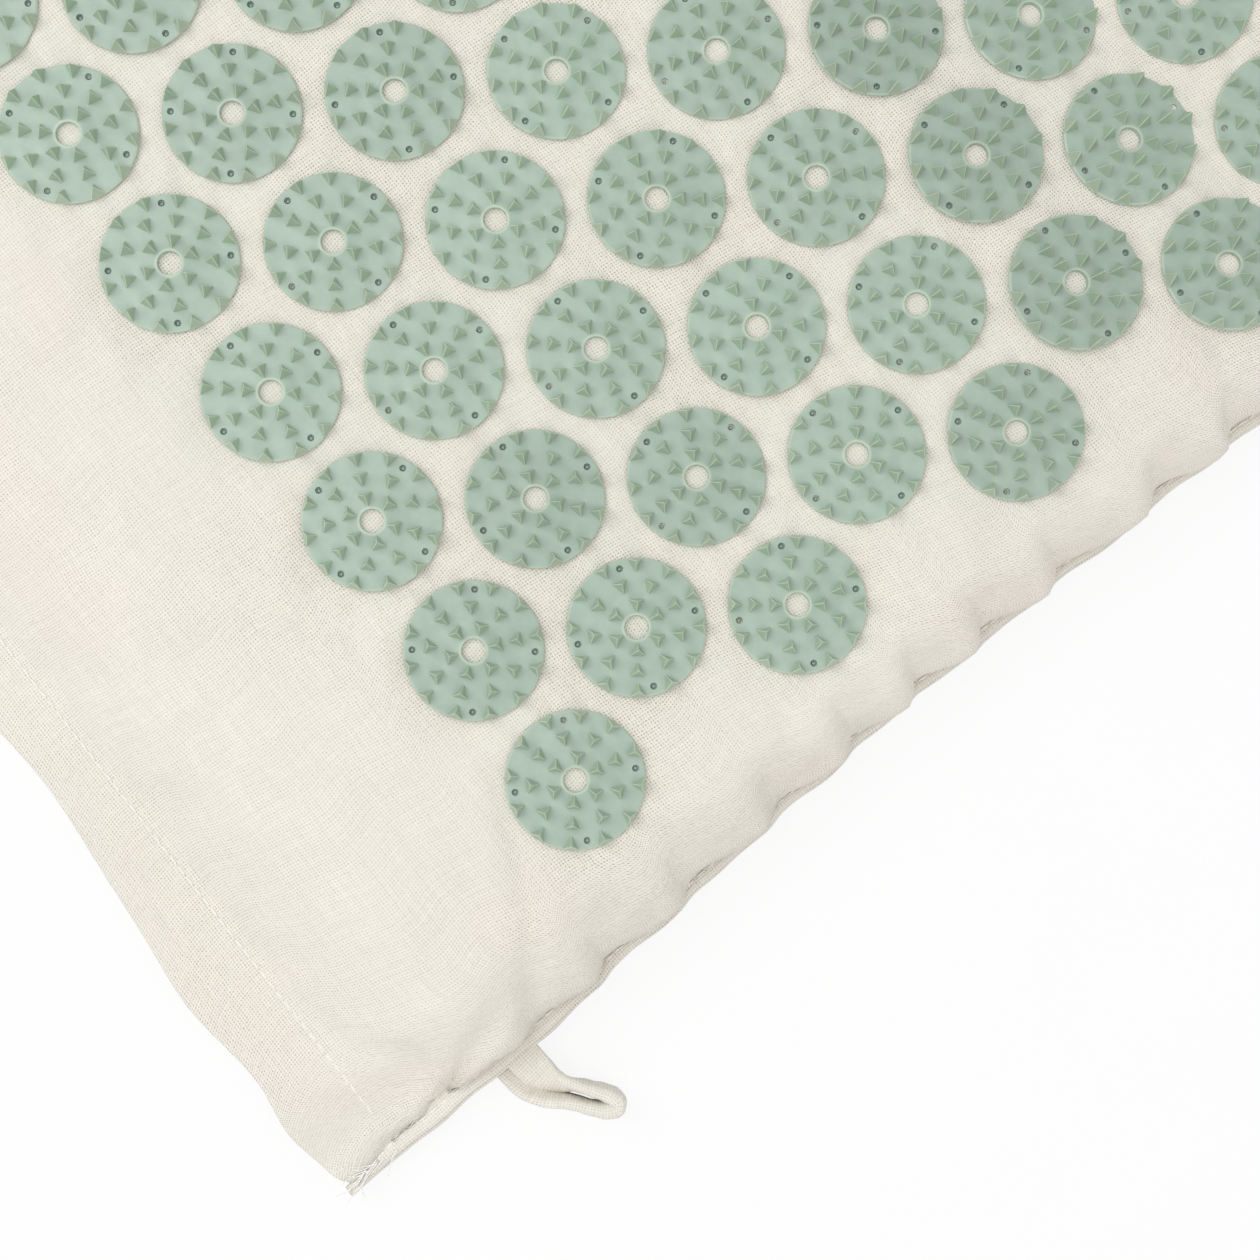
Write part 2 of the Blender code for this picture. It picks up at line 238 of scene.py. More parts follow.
@dataclass(frozen=True)
class Finish:
    """A surface's material: its name and what is even all over it."""

    name: str
    roughness: float = 0.8
    sheen: float = 0.0

    def paint(self, net: Net) -> dict[str, Signal]:
        """The signals that change over the surface, by the shader's socket."""
        return {}

    def material(self) -> Material:
        """Builds the material.

        Returns:
            The material.
        """
        made = bpy.data.materials.new(self.name)
        made.use_nodes = True
        net, shader = Net(made.node_tree), made.node_tree.nodes["Principled BSDF"]
        net.feed(shader, {"Roughness": self.roughness, "Sheen Weight": self.sheen,
                          "Sheen Roughness": 0.6})
        net.feed(shader, self.paint(net))
        return made


@dataclass(frozen=True)
class WovenCotton(Finish):
    """Plain-woven undyed cotton. Its weave follows the cloth's own place attribute."""

    yarn: Colour = (0.826, 0.803, 0.728)
    blush: Colour = (0.84, 0.785, 0.715)
    # The colour of the painted shade seen through the pin-points between yarns.
    gap: Colour = (0.33, 0.27, 0.19)
    pitch: float = 0.0006
    openness: float = 0.78
    fuzz: float = 0.15

    def paint(self, net: Net) -> dict[str, Signal]:
        """Yarns that pass over and under with painted light on their crowns, pin-points of painted
        shade between them, slubs and soft stains.

        Args:
            net: The material's net.

        Returns:
            A signal for each of the shader's sockets that it feeds.
        """
        place = net.attribute(PLACE, "Vector")
        along, across, _ = net.parts(place)
        wander, jitter = net.noise(place, 90.0, 1.0) - 0.5, net.noise(place, 1150.0, 0.0) - 0.5
        warp = along / self.pitch + wander * 0.9 + jitter * 0.42
        weft = across / self.pitch + wander * 1.1 - jitter * 0.42
        warp_hump, weft_hump = warp.hump(), weft.hump()
        turn = ((warp.whole() + weft.whole()) * 0.5).fraction() * 2.0
        warp_over = warp_hump * (weft_hump * 0.55 + 0.45)
        weft_over = weft_hump * (warp_hump * 0.55 + 0.45)
        height = warp_over + turn * (weft_over - warp_over)
        slub_warp = net.noise(net.vector(warp * 0.9, weft * 0.05), 1.0, 1.0)
        slub_weft = net.noise(net.vector(warp * 0.05, weft * 0.9, 7.0), 1.0, 1.0)
        slub = (slub_warp + slub_weft - 1.0) * 0.55
        reach = net.attribute(DISC_REACH).math("ABSOLUTE")
        pull = reach.ramp(0.0, 0.008, 1.0, 0.0)
        open_cloth = net.noise(place, 22.0, 3.0).ramp(0.36, 0.64, 0.5, 0.9) + pull * 0.2
        pinhole = (warp_hump + weft_hump - open_cloth * 0.16).ramp(0.30, 0.92, 1.0, 0.0)
        cell = net.vector((warp + 0.5).whole(), (weft + 0.5).whole())
        uneven = net.add("ShaderNodeTexWhiteNoise", {"Vector": cell}, "Value",
                         noise_dimensions="2D")
        # Painted shade in the pin-points between yarns, more open where the discs pull the cloth.
        holes = pinhole * open_cloth * (uneven * 0.9 + 0.5) * self.openness
        stain = net.noise(place, 9.0, 3.0, 0.6)
        yarn = net.mix(stain.ramp(0.3, 0.7), self.yarn, [part * 0.965 for part in self.yarn])
        # Slubs vary the yarns' tone; their raised crowns get a little painted light.
        tone = slub * 0.22 + height * 0.05 + 0.965
        yarn = net.mix(net.noise(place, 31.0, 2.0).ramp(0.45, 0.75, 0.0, 0.5), yarn, self.blush)
        shadow = reach.ramp(0.0001, 0.0008, 0.99, 1.0)
        colour = net.mix(holes, net.shade(yarn, tone * shadow), self.gap)
        fuzz = net.noise(place, 2600.0, 3.0, 0.7)
        bump = net.bump(height + slub * 0.5 + fuzz * self.fuzz, 0.00011, 0.62)
        return {"Base Color": colour, "Normal": bump}


@dataclass(frozen=True)
class MouldedPlastic(Finish):
    """Moulded plastic, with the spikes a little yellower than the plate, and painted highlights on
    their edges.
    """

    plate: Colour = (0.398, 0.503, 0.428)
    spikes: Colour = (0.394, 0.504, 0.384)
    # The painted highlight colour of rims, ridges and tips.
    arris: Colour = (0.62, 0.72, 0.56)

    def paint(self, net: Net) -> dict[str, Signal]:
        """Cloudy colour from moulding, a random tone for each disc with painted shade on some rows,
        painted edge highlights, and a fine satin grain.

        Args:
            net: The material's net.

        Returns:
            A signal for each of the shader's sockets that it feeds.
        """
        place = net.object_place()
        cloud = net.noise(place, 260.0, 3.0, 0.6)
        base = net.mix(net.attribute("spike"), self.plate, self.spikes)
        # Painted highlights on the marked rims, ridges and tips.
        base = net.mix(net.attribute(EDGE_HIGHLIGHT) * 0.6, base, self.arris)
        # Each disc's random tone, plus painted shade on the rows that tilt away from the light.
        tint = net.attribute("tint") * 0.07 + 0.965
        wipe = net.noise(place, 700.0, 4.0, 0.6)
        rough = wipe.ramp(0.3, 0.7, self.roughness - 0.06, self.roughness + 0.08)
        grain = net.noise(place, 3800.0, 2.0) + net.noise(place, 420.0, 2.0) * 1.5
        return {"Base Color": net.shade(base, cloud.ramp(0.25, 0.75, 0.95, 1.05) * tint),
                "Roughness": rough, "Normal": net.bump(grain, 0.00003, 0.5)}


@dataclass(frozen=True)
class SewingThread(Finish):
    """Twisted cotton sewing thread."""

    colour: Colour = (0.97, 0.965, 0.93)

    def paint(self, net: Net) -> dict[str, Signal]:
        """Strands that wind round the thread, and shade between them.

        Args:
            net: The material's net.

        Returns:
            A signal for each of the shader's sockets that it feeds.
        """
        strands = net.noise(net.object_place(), 5200.0, 3.0, 0.7)
        return {"Base Color": net.shade(self.colour, strands.ramp(0.3, 0.7, 0.88, 1.02)),
                "Normal": net.bump(strands, 0.00008)}


@dataclass(frozen=True)
class CellFoam(Finish):
    """Open-cell foam."""

    colour: Colour = (0.80, 0.76, 0.62)

    def paint(self, net: Net) -> dict[str, Signal]:
        """Pores with painted shade in them, and the yellowing that foam gets.

        Args:
            net: The material's net.

        Returns:
            A signal for each of the shader's sockets that it feeds.
        """
        place = net.object_place()
        pores = net.add("ShaderNodeTexVoronoi", {"Vector": place, "Scale": 1100.0}, "Distance")
        age = net.noise(place, 18.0, 3.0)
        # Painted shade in the pores, times the foam's uneven yellowing.
        shade = pores.ramp(0.1, 0.6, 0.72, 1.0) * age.ramp(0.3, 0.7, 0.94, 1.02)
        return {"Base Color": net.shade(self.colour, shade), "Normal": net.bump(pores, 0.0004)}


@dataclass(frozen=True)
class BrushedTape(Finish):
    """Woven nylon closure tape, fuzzy on its loop side."""

    colour: Colour = (0.78, 0.75, 0.67)

    def paint(self, net: Net) -> dict[str, Signal]:
        """Fine ribs with painted light on their crowns, and tangled fibre.

        Args:
            net: The material's net.

        Returns:
            A signal for each of the shader's sockets that it feeds.
        """
        place = net.object_place()
        ribs = (net.parts(place)[1] / 0.0007).hump()
        fibre = net.noise(place, 3000.0, 4.0, 0.75)
        # Painted light on the ribs' crowns, plus the fibre's uneven tone.
        shade = ribs * 0.08 + fibre.ramp(0.3, 0.7, 0.82, 1.0)
        return {"Base Color": net.shade(self.colour, shade),
                "Normal": net.bump(fibre + ribs * 0.4, 0.0002)}


@dataclass(frozen=True)
class PaleFloor(Finish):
    """A floor that the camera sees as near white, with the mat's soft shadow on it."""

    colour: Colour = (0.86, 0.86, 0.86)
    glow: float = 0.87

    def material(self) -> Material:
        """Builds the floor's own mix of matt paint and white seen straight.

        Returns:
            The material.
        """
        made = bpy.data.materials.new(self.name)
        made.use_nodes = True
        net = Net(made.node_tree)
        net.tree.nodes.clear()
        speck = net.noise(net.object_place(), 40.0, 3.0).ramp(0.3, 0.7, 0.985, 1.0)
        paint = net.add("ShaderNodeBsdfDiffuse", {"Color": net.shade(self.colour, speck)})
        white = net.add("ShaderNodeEmission", {"Color": WHITE, "Strength": 1.0})
        ray = net.add("ShaderNodeLightPath", {})
        seen = ray["Is Glossy Ray"].math("MAXIMUM", ray["Is Transmission Ray"])
        seen = ray["Is Camera Ray"].math("MAXIMUM", seen)
        mixed = net.add("ShaderNodeMixShader", {0: seen * self.glow, 1: paint, 2: white})
        net.add("ShaderNodeOutputMaterial", {"Surface": mixed})
        return made


# ---------------------------------------------------------------- mesh helpers


def ease(share: Any) -> Any:
    """A smooth step from 0 to 1."""
    share = np.clip(share, 0.0, 1.0)
    return share * share * (3 - 2 * share)


def between(start: Any, end: Any, share: Any) -> Any:
    """A value between two others."""
    return start + (end - start) * share


def steps(start: float, end: float, step: float) -> np.ndarray:
    """Even places from start to end, about a step apart."""
    return np.linspace(start, end, max(int(round(abs(end - start) / step)), 1) + 1)


def unit(vectors: np.ndarray) -> np.ndarray:
    """Vectors with their length brought to 1."""
    return vectors / np.maximum(np.linalg.norm(vectors, axis=-1, keepdims=True), 1e-12)


def circle(count: int, start: float = 0.0) -> np.ndarray:
    """Angles evenly round a circle."""
    return np.arange(count) / count * 2 * math.pi + start


def store(mesh: Mesh, name: str, values: Any, domain: str = "POINT",
          kind: str = "FLOAT") -> None:
    """Stores values on a mesh under a name, over those that it has.

    Args:
        mesh: The mesh.
        name: The attribute's name.
        values: A number or a vector for each element.
        domain: What kind of element has them.
        kind: The attribute's type.
    """
    layer = mesh.attributes.get(name) or mesh.attributes.new(name, kind, domain)
    field = "vector" if kind == "FLOAT_VECTOR" else "value"
    layer.data.foreach_set(field, np.asarray(values, np.float32).ravel())


def mesh_of(name: str, points: Any, faces: Iterable[Sequence[int]],
            places: Optional[np.ndarray] = None) -> Mesh:
    """Makes a smooth mesh.

    Args:
        name: The mesh's name.
        points: Its points, in an array whose last axis is x, y and z.
        faces: Its faces, as indices of points.
        places: The cloth's own flat place of each point, where it has one.

    Returns:
        The mesh.
    """
    mesh = bpy.data.meshes.new(name)
    points = np.reshape(points, (-1, 3))
    mesh.from_pydata(points.tolist(), [], [list(map(int, face)) for face in faces])
    if places is not None:
        store(mesh, PLACE, places, kind="FLOAT_VECTOR")
        store(mesh, DISC_REACH, np.ones(len(points)))
    mesh.shade_smooth()
    return mesh


def grid_faces(rows: int, columns: int, first: int = 0, wrap: bool = False,
               turn: bool = False) -> np.ndarray:
    """Quads of a grid of points, row after row.

    Args:
        rows: The number of rows.
        columns: The number of points in a row.
        first: The index of the first point.
        wrap: Whether the last column joins the first.
        turn: Whether the faces look the other way.

    Returns:
        Four indices for each quad.
    """
    spans = columns if wrap else columns - 1
    row, column = np.meshgrid(np.arange(rows - 1), np.arange(spans), indexing="ij")
    after = (column + 1) % columns
    quads = np.stack([row * columns + column, (row + 1) * columns + column,
                      (row + 1) * columns + after, row * columns + after], -1).reshape(-1, 4)
    return first + (quads[:, ::-1] if turn else quads)


def flat_places(points: np.ndarray) -> np.ndarray:
    """Where each point of a grid lies on the flat cloth, by lengths from its middle lines.

    Args:
        points: The grid of points.

    Returns:
        Their places, 0 in height.
    """
    lengths = []
    for axis in (0, 1):
        spans = np.linalg.norm(np.diff(points, axis=axis), axis=-1)
        run = np.insert(np.cumsum(spans, axis=axis), 0, 0, axis=axis)
        lengths.append(run - run.take([points.shape[axis] // 2], axis=axis))
    return np.stack([*lengths, np.zeros(points.shape[:2])], -1)


def cloth_mesh(name: str, outer: np.ndarray, thickness: np.ndarray, places: np.ndarray) -> Mesh:
    """A closed sheet of cloth, with both faces and its cut edges.

    Args:
        name: The mesh's name.
        outer: The grid of points of its outer face, which looks along the grid's normals.
        thickness: Its thickness at each row of the grid.
        places: The cloth's own flat place of each point.

    Returns:
        The mesh.
    """
    rows, columns, _ = outer.shape
    normals = unit(np.cross(np.gradient(outer, axis=0), np.gradient(outer, axis=1)))
    inner = outer - normals * thickness[:, None, None]
    count = rows * columns
    index = np.arange(count).reshape(rows, columns)
    ring = np.concatenate([index[:, 0], index[-1, 1:], index[-2::-1, -1], index[0, -2:0:-1]])
    after = np.roll(ring, -1)
    faces = [grid_faces(rows, columns), grid_faces(rows, columns, count, turn=True),
             np.stack([ring, ring + count, after + count, after], -1)]
    return mesh_of(name, [outer, inner], np.concatenate(faces), np.stack([places, places]))


def swept_mesh(name: str, rings: np.ndarray) -> Mesh:
    """A closed solid through rings of points, with its ends capped, and cloth places round it.

    Args:
        name: The mesh's name.
        rings: The rings, each with as many points.

    Returns:
        The mesh.
    """
    count, corners, _ = rings.shape
    faces = [*grid_faces(count, corners, wrap=True), range(corners),
             range(count * corners - 1, (count - 1) * corners - 1, -1)]
    centre = rings.mean(axis=1)
    along = np.insert(np.cumsum(np.linalg.norm(np.diff(centre, axis=0), axis=1)), 0, 0)
    spans = np.linalg.norm(np.roll(rings, -1, axis=1) - rings, axis=-1)
    girth = np.cumsum(spans, axis=1)
    across = np.abs(girth - spans - girth[:, -1:] / 2)
    along = np.broadcast_to(along[:, None], across.shape)
    return outwards(mesh_of(name, rings, faces, np.stack([along, across, 0 * across], -1)))


def turned_mesh(name: str, profile: Sequence[tuple[float, float]], turns: int) -> Mesh:
    """A closed solid of a profile of radius and height, turned round the Z axis.

    Args:
        name: The mesh's name.
        profile: The radius and height of each of its points.
        turns: How many steps go round.

    Returns:
        The mesh.
    """
    rings = [[(r * math.cos(a), r * math.sin(a), z) for r, z in profile] for a in circle(turns)]
    faces = grid_faces(turns + 1, len(profile), wrap=True) % (turns * len(profile))
    return outwards(mesh_of(name, rings, faces))


def pointed_mesh(name: str, rings: Any, tip: float) -> Mesh:
    """A closed solid up through level rings of points to a tip on the Z axis.

    Args:
        name: The mesh's name.
        rings: The rings, from the lowest up.
        tip: The tip's height.

    Returns:
        The mesh.
    """
    count, corners, _ = np.shape(rings)
    last = (count - 1) * corners
    faces = [*grid_faces(count, corners, wrap=True),
             *((last + index, last + (index + 1) % corners, count * corners)
               for index in range(corners)), range(corners - 1, -1, -1)]
    points = np.append(np.reshape(rings, (-1, 3)), [[0, 0, tip]], axis=0)
    return outwards(mesh_of(name, points, faces))


def outwards(mesh: Mesh) -> Mesh:
    """Turns a closed mesh's faces outwards.

    Args:
        mesh: The closed mesh.

    Returns:
        The same mesh.
    """
    shape = bmesh.new()
    shape.from_mesh(mesh)
    bmesh.ops.recalc_face_normals(shape, faces=shape.faces)
    shape.to_mesh(mesh)
    shape.free()
    return mesh


def joined_mesh(name: str, meshes: Iterable[Mesh], merge: float = 0.0) -> Mesh:
    """One mesh of several, with points that lie near each other made one.

    Args:
        name: The mesh's name.
        meshes: What is joined.
        merge: How near, or 0 to merge none.

    Returns:
        The mesh.
    """
    shape, made = bmesh.new(), bpy.data.meshes.new(name)
    for mesh in meshes:
        shape.from_mesh(mesh)
    if merge:
        bmesh.ops.remove_doubles(shape, verts=shape.verts, dist=merge)
    shape.to_mesh(made)
    shape.free()
    return made


def link(name: str, data: Any, *materials: Material) -> Item:
    """Puts a mesh, lamp or camera in the scene.

    Args:
        name: The object's name.
        data: The mesh, lamp or camera.
        materials: Its materials.

    Returns:
        The object.
    """
    item = bpy.data.objects.new(name, data)
    bpy.context.scene.collection.objects.link(item)
    for material in materials:
        data.materials.append(material)
    return item


def remove(*items: Item) -> None:
    """Takes objects out of the file."""
    for item in items:
        bpy.data.objects.remove(item, do_unlink=True)


def settle(item: Item, body: Body, slot: str, *nodes: str) -> Item:
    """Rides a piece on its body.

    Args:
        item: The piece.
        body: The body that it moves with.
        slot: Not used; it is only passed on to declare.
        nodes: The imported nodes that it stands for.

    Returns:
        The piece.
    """
    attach(item, body.value)
    return declare(item, slot, *nodes)


def declare(item: Item, slot: str, *nodes: str) -> Item:
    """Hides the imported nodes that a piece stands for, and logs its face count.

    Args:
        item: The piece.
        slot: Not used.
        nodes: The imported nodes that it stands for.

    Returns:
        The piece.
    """
    if nodes:
        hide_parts(*nodes)
    LOG.info("%s: %d faces", item.name, len(item.data.polygons))
    return item


def cross_axes(path: np.ndarray) -> tuple[np.ndarray, np.ndarray]:
    """The level direction and the upward one square to a path, at each of its points.

    Args:
        path: The path's points.

    Returns:
        Both directions, at each point.
    """
    forward = np.gradient(path, axis=0)
    forward /= np.linalg.norm(forward, axis=1, keepdims=True)
    side = np.cross(forward, UP)
    side /= np.linalg.norm(side, axis=1, keepdims=True)
    return side, np.cross(side, forward)


# ---------------------------------------------------------------- the mat's plan


@dataclass(frozen=True)
class Dent:
    """A place where an edge or a surface is drawn in, or swells where its depth is negative."""

    place: float
    width: float
    depth: float

    def at(self, place: Any) -> Any:
        """Its depth at another place."""
        return self.depth * np.exp(-(((place - self.place) / self.width) ** 2))


@dataclass(frozen=True)
class Fold:
    """A short crease in the cloth: its middle, its direction in degrees, and its size."""

    x: float
    y: float
    turn: float
    length: float
    width: float
    depth: float

    def at(self, x: Any, y: Any) -> Any:
        """Its depth at a place.

        Args:
            x: Places along the mat.
            y: Places across it.

        Returns:
            The crease's depth there.
        """
        turn = math.radians(self.turn)
        along = (x - self.x) * math.cos(turn) + (y - self.y) * math.sin(turn)
        across = (y - self.y) * math.cos(turn) - (x - self.x) * math.sin(turn)
        return self.depth * np.exp(-(along / self.length) ** 2 - (across / self.width) ** 2)


@dataclass(frozen=True)
class MatPlan:
    """The mat's sizes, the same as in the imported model."""

    length: float = 0.680
    width: float = 0.410
    cloth: float = 0.0006
    disc_diameter: float = 0.027
    disc_spacing: float = 0.0314
    row_count: int = 20
    long_row: int = 12
    first_row_inset: float = 0.0853
    welt_reach: float = 0.0025
    welt_half: float = 0.0011
    seam_height: float = 0.0065
    lip_seam_height: float = 0.0040
    settle_length: float = 0.060
    slope_length: float = 0.0285
    lip_width: float = 0.0135
    lip_top: float = 0.0051
    lip_half_width: float = 0.2012
    cover_top: float = 0.0218
    field_half_width: float = 0.1875
    flat_end: float = 0.3225
    back_roll: float = 0.014

    @property
    def row_spacing(self) -> float:
        """Distance between two rows of discs."""
        return self.disc_spacing * math.sqrt(3) / 2

    @property
    def open_x(self) -> float:
        """X of the open edge."""
        return -self.length / 2

    @property
    def lip_x(self) -> float:
        """X of the lip's line of stitches."""
        return self.open_x + self.lip_width

    @property
    def seam_x(self) -> float:
        """X of the closed end's seam."""
        return self.length / 2 - self.welt_reach

    @property
    def seam_y(self) -> float:
        """Y of the far side's seam."""
        return self.width / 2 - self.welt_reach

    def row_x(self, index: int) -> float:
        """X of a row of discs."""
        return self.first_row_inset - self.length / 2 + index * self.row_spacing

    def blend_lip(self, item: Item) -> None:
        """Bakes a piece's placement into its mesh.

        Args:
            item: The piece.
        """
        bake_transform(item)


@dataclass
class Lattice:
    """The places of a cloth's grid of points, along the mat and across it.

    Attributes:
        xs: Places along the mat.
        ends: For each of them, the share of the closed end's rounded side, or 1.
        ys: Places across the mat.
        rolls: For each of them, the share of the long sides' rounded sides, or 1.
    """

    xs: np.ndarray
    ends: np.ndarray
    ys: np.ndarray
    rolls: np.ndarray

    def grids(self) -> list[np.ndarray]:
        """Spreads the places over the grid's points.

        Returns:
            X, y, end share, side share and the sign of the nearest long side.
        """
        made = [*np.meshgrid(self.xs, self.ys, indexing="ij"),
                *np.meshgrid(self.ends, self.rolls, indexing="ij")]
        return [*made, np.broadcast_to(np.where(self.ys < 0, -1, 1), made[0].shape)]


@dataclass(frozen=True)
class CoverShape:
    """The surface of the cover: its waves, its rounded sides and the puckers along its seams."""

    plan: MatPlan
    waves: tuple[Dent, ...] = (
        Dent(-0.135, 0.018, -0.0018), Dent(-0.088, 0.022, 0.0030), Dent(-0.030, 0.030, -0.0012),
        Dent(0.085, 0.024, 0.0014), Dent(0.190, 0.035, 0.0012))
    edge_dents: tuple[Dent, ...] = (
        Dent(0.093, 0.022, 0.0029), Dent(0.040, 0.014, -0.0021), Dent(0.008, 0.008, -0.0020),
        Dent(0.155, 0.024, -0.0012), Dent(0.215, 0.026, 0.0022), Dent(0.272, 0.020, -0.0016),
        Dent(0.330, 0.024, 0.0020), Dent(0.385, 0.016, -0.0012))
    # The folds beside the hanging loop's corner.
    folds: tuple[Fold, ...] = (
        Fold(-0.3125, -0.2052, 23.0, 0.0062, 0.0012, 0.0034),
        Fold(-0.3030, -0.2016, 20.0, 0.0100, 0.0030, 0.0018),
        Fold(-0.3245, -0.2048, 12.0, 0.0075, 0.0022, 0.0005),
        Fold(-0.2860, -0.1990, 55.0, 0.0090, 0.0032, 0.0014),
        Fold(-0.3050, -0.1880, 35.0, 0.0160, 0.0060, 0.0005))
    corner_radius: float = 0.0055
    bulge: float = 0.0015
    dimple: Dent = Dent(0.0, 0.0028, 0.0004)
    gather: Dent = Dent(0.0, 0.0026, 0.0011)
    pleat: Dent = Dent(0.0, 0.0022, 0.0004)
    gather_reach: float = 0.0075
    pleat_reach: float = 0.006
    edge_fade: float = 0.012
    # The near side's tucks as the photograph shows them, from the open edge. Others are spaced out.
    near_tucks: tuple[float, ...] = (
        0.0, 0.0250, 0.0504, 0.0683, 0.0906, 0.1139, 0.1336, 0.1500, 0.1672, 0.1862, 0.2121, 0.2312)
    tuck_spacing: float = 0.0232
    tuck_scatter: float = 0.0042

    def swell(self, x: Any, y: Any) -> Any:
        """Height of the gentle waves that the mat keeps from being rolled up.

        Args:
            x: Places along the mat.
            y: Places across it.

        Returns:
            The height there.
        """
        height = sum(-wave.at(x + 0.06 * y) for wave in self.waves)
        height = height + 0.0004 * np.sin(x / 0.021 + 1.3) * np.sin(y / 0.027 + 0.4)
        height = height + 0.0003 * np.sin(x / 0.0125 + y / 0.034)
        room = np.minimum(x - self.plan.lip_x, self.plan.seam_x - x)
        room = np.minimum(room, self.plan.seam_y - np.abs(y))
        return height * ease((room - 0.006) / 0.040)

    def roof(self, x: Any, y: Any) -> Any:
        """Height of the cover's top, which slopes down to the lip."""
        slope = ease((x - self.plan.lip_x) / self.plan.slope_length)
        return between(self.plan.lip_top, self.plan.cover_top, slope) + self.swell(x, y)

    def dimples(self, x: Any, y: Any) -> Any:
        """How far each clamped disc draws the cloth down round itself."""
        return self.dimple.at(np.clip(self.disc_reach(x, y), 0, 1))

    def disc_reach(self, x: Any, y: Any) -> Any:
        """Distance from the rim of the nearest disc.

        Args:
            x: Places along the mat.
            y: Places across it.

        Returns:
            The distance, less than 0 under a disc.
        """
        plan = self.plan
        row = np.clip(np.round((x - plan.row_x(0)) / plan.row_spacing), 0, plan.row_count - 1)
        nearest = np.full_like(x * y, 1.0)
        for near_row in (row - 1, row, row + 1):
            inside = (near_row >= 0) & (near_row < plan.row_count)
            count = plan.long_row - np.mod(near_row, 2)
            place = np.clip(np.round(y / plan.disc_spacing + (count - 1) / 2), 0, count - 1)
            centre_y = (place - (count - 1) / 2) * plan.disc_spacing
            distance = np.hypot(x - plan.row_x(0) - near_row * plan.row_spacing, y - centre_y)
            nearest = np.minimum(nearest, np.where(inside, distance, 1.0))
        return nearest - plan.disc_diameter / 2

    def lean(self, x: Any, side: Any) -> Any:
        """How far a long side stands outside the straight line between its corners.

        Args:
            x: Places along the mat.
            side: The sign of the long side's Y.

        Returns:
            The distance, less than 0 inside the line.
        """
        from_end = x - self.plan.open_x
        near = 0.0040 - 0.0064 * ease((from_end - 0.022) / 0.142) + 0.0022 * ease((x - 0.02) / 0.25)
        far = 0.0012 * np.sin(x / 0.062 + 0.5) - 0.0006
        near = near + 0.0030 * (1 - ease(from_end / 0.013))
        near = near - 0.0007 * (1 - self.bulging(x, -1)) * ease((from_end - 0.045) / 0.02)
        far = far - 0.0006 * (1 - self.bulging(x, 1))
        return np.where(np.asarray(side) < 0, near, far)

    def end_lean(self, y: Any) -> Any:
        """How far the closed end stands outside its straight line."""
        return 0.0009 * np.sin(y / 0.041 + 0.7) - 0.0006 + 0.0003 * np.sin(y / 0.0075)

    def edge_shift(self, y: Any) -> Any:
        """How far the open edge is drawn in at a place across the mat.

        Args:
            y: Places across the mat.

        Returns:
            The distance.
        """
        shift = sum(dent.at(y + self.plan.lip_half_width) for dent in self.edge_dents)
        reach = self.plan.seam_y + self.lean(np.array(self.plan.open_x), np.sign(y))
        inside = self.corner_radius - np.clip(reach - np.abs(y), 0, self.corner_radius)
        return shift + self.corner_radius - np.sqrt(self.corner_radius ** 2 - inside ** 2)

    def phase(self, place: Any, side: int) -> Any:
        """Where a place along a seam falls among its tucks.

        Args:
            place: X on a long side, or Y on the closed end.
            side: -1 on the near side, 1 on the far side and 0 on the closed end.

        Returns:
            The number of the tuck before it, and the share of the way to the next one.
        """
        later = np.arange(1, 24) * self.tuck_spacing
        later = later + self.tuck_scatter * np.sin(np.arange(1, 24) * 2.4 + side)
        if side < 0:
            tucks = np.concatenate([self.near_tucks, self.near_tucks[-1] + later])
            start = self.plan.open_x
        else:
            tucks = np.concatenate([[0.0], later])
            start = self.plan.open_x + 0.011 if side else -self.plan.width / 2
        spare = np.clip(place - start - tucks[-1], 0, 1) / self.tuck_spacing
        return np.interp(place - start, tucks, np.arange(len(tucks))) + spare

    def bulging(self, place: Any, side: int) -> Any:
        """0 at a tuck, growing to 1 before the next one."""
        share = np.mod(self.phase(place, side), 1)
        return ease(share / 0.7) * (1 - ease((share - 0.77) / 0.23))

    def settled(self, place: Any, start: float, end: float) -> Any:
        """0 at the corners of a side, and 1 away from them."""
        return ease(np.minimum(place - start, end - place) / self.plan.settle_length)

    def overhang(self, place: Any, side: int, start: float, end: float) -> Any:
        """How far the cloth bulges past its seam at a place along it.

        Args:
            place: X on a long side, or Y on the closed end.
            side: As in phase.
            start: Where the side starts.
            end: Where it ends.

        Returns:
            The distance.
        """
        fuller = 1.0 + (0.45 * ease((place + 0.25) / 0.08) if side < 0 else 0.0)
        crown = self.bulge * fuller * self.bulging(place, side)
        return 0.0001 + self.settled(place, start, end) * crown

    def seam_z(self, x: Any, y: Any) -> Any:
        """Height of the middle of the welt.

        Args:
            x: Places along the mat.
            y: Places across it.

        Returns:
            The height there.
        """
        plan = self.plan
        to_corner = np.maximum(plan.seam_x - x, plan.seam_y - np.abs(y))
        rise = ease(np.minimum(x - plan.lip_x, to_corner) / plan.settle_length)
        wave = 0.0004 * np.sin((x + y) / 0.0063) * rise
        return between(plan.lip_seam_height, plan.seam_height, rise) + wave

    def roll(self, share: Any, width: Any, overhang: Any) -> tuple[Any, Any]:
        """Shapes an elliptic side.

        Args:
            share: How far round the side, from 0 at its seam to 1 at its top.
            width: How far in from the seam the side goes.
            overhang: How far past the seam it bulges.

        Returns:
            The distance in from the seam, and the share of the rise.
        """
        reach = width + overhang
        seam_angle = -np.arccos(width / reach)
        angle = between(seam_angle, math.pi / 2, share)
        rise = (np.sin(angle) - np.sin(seam_angle)) / (1 - np.sin(seam_angle))
        return width - reach * np.cos(angle), rise

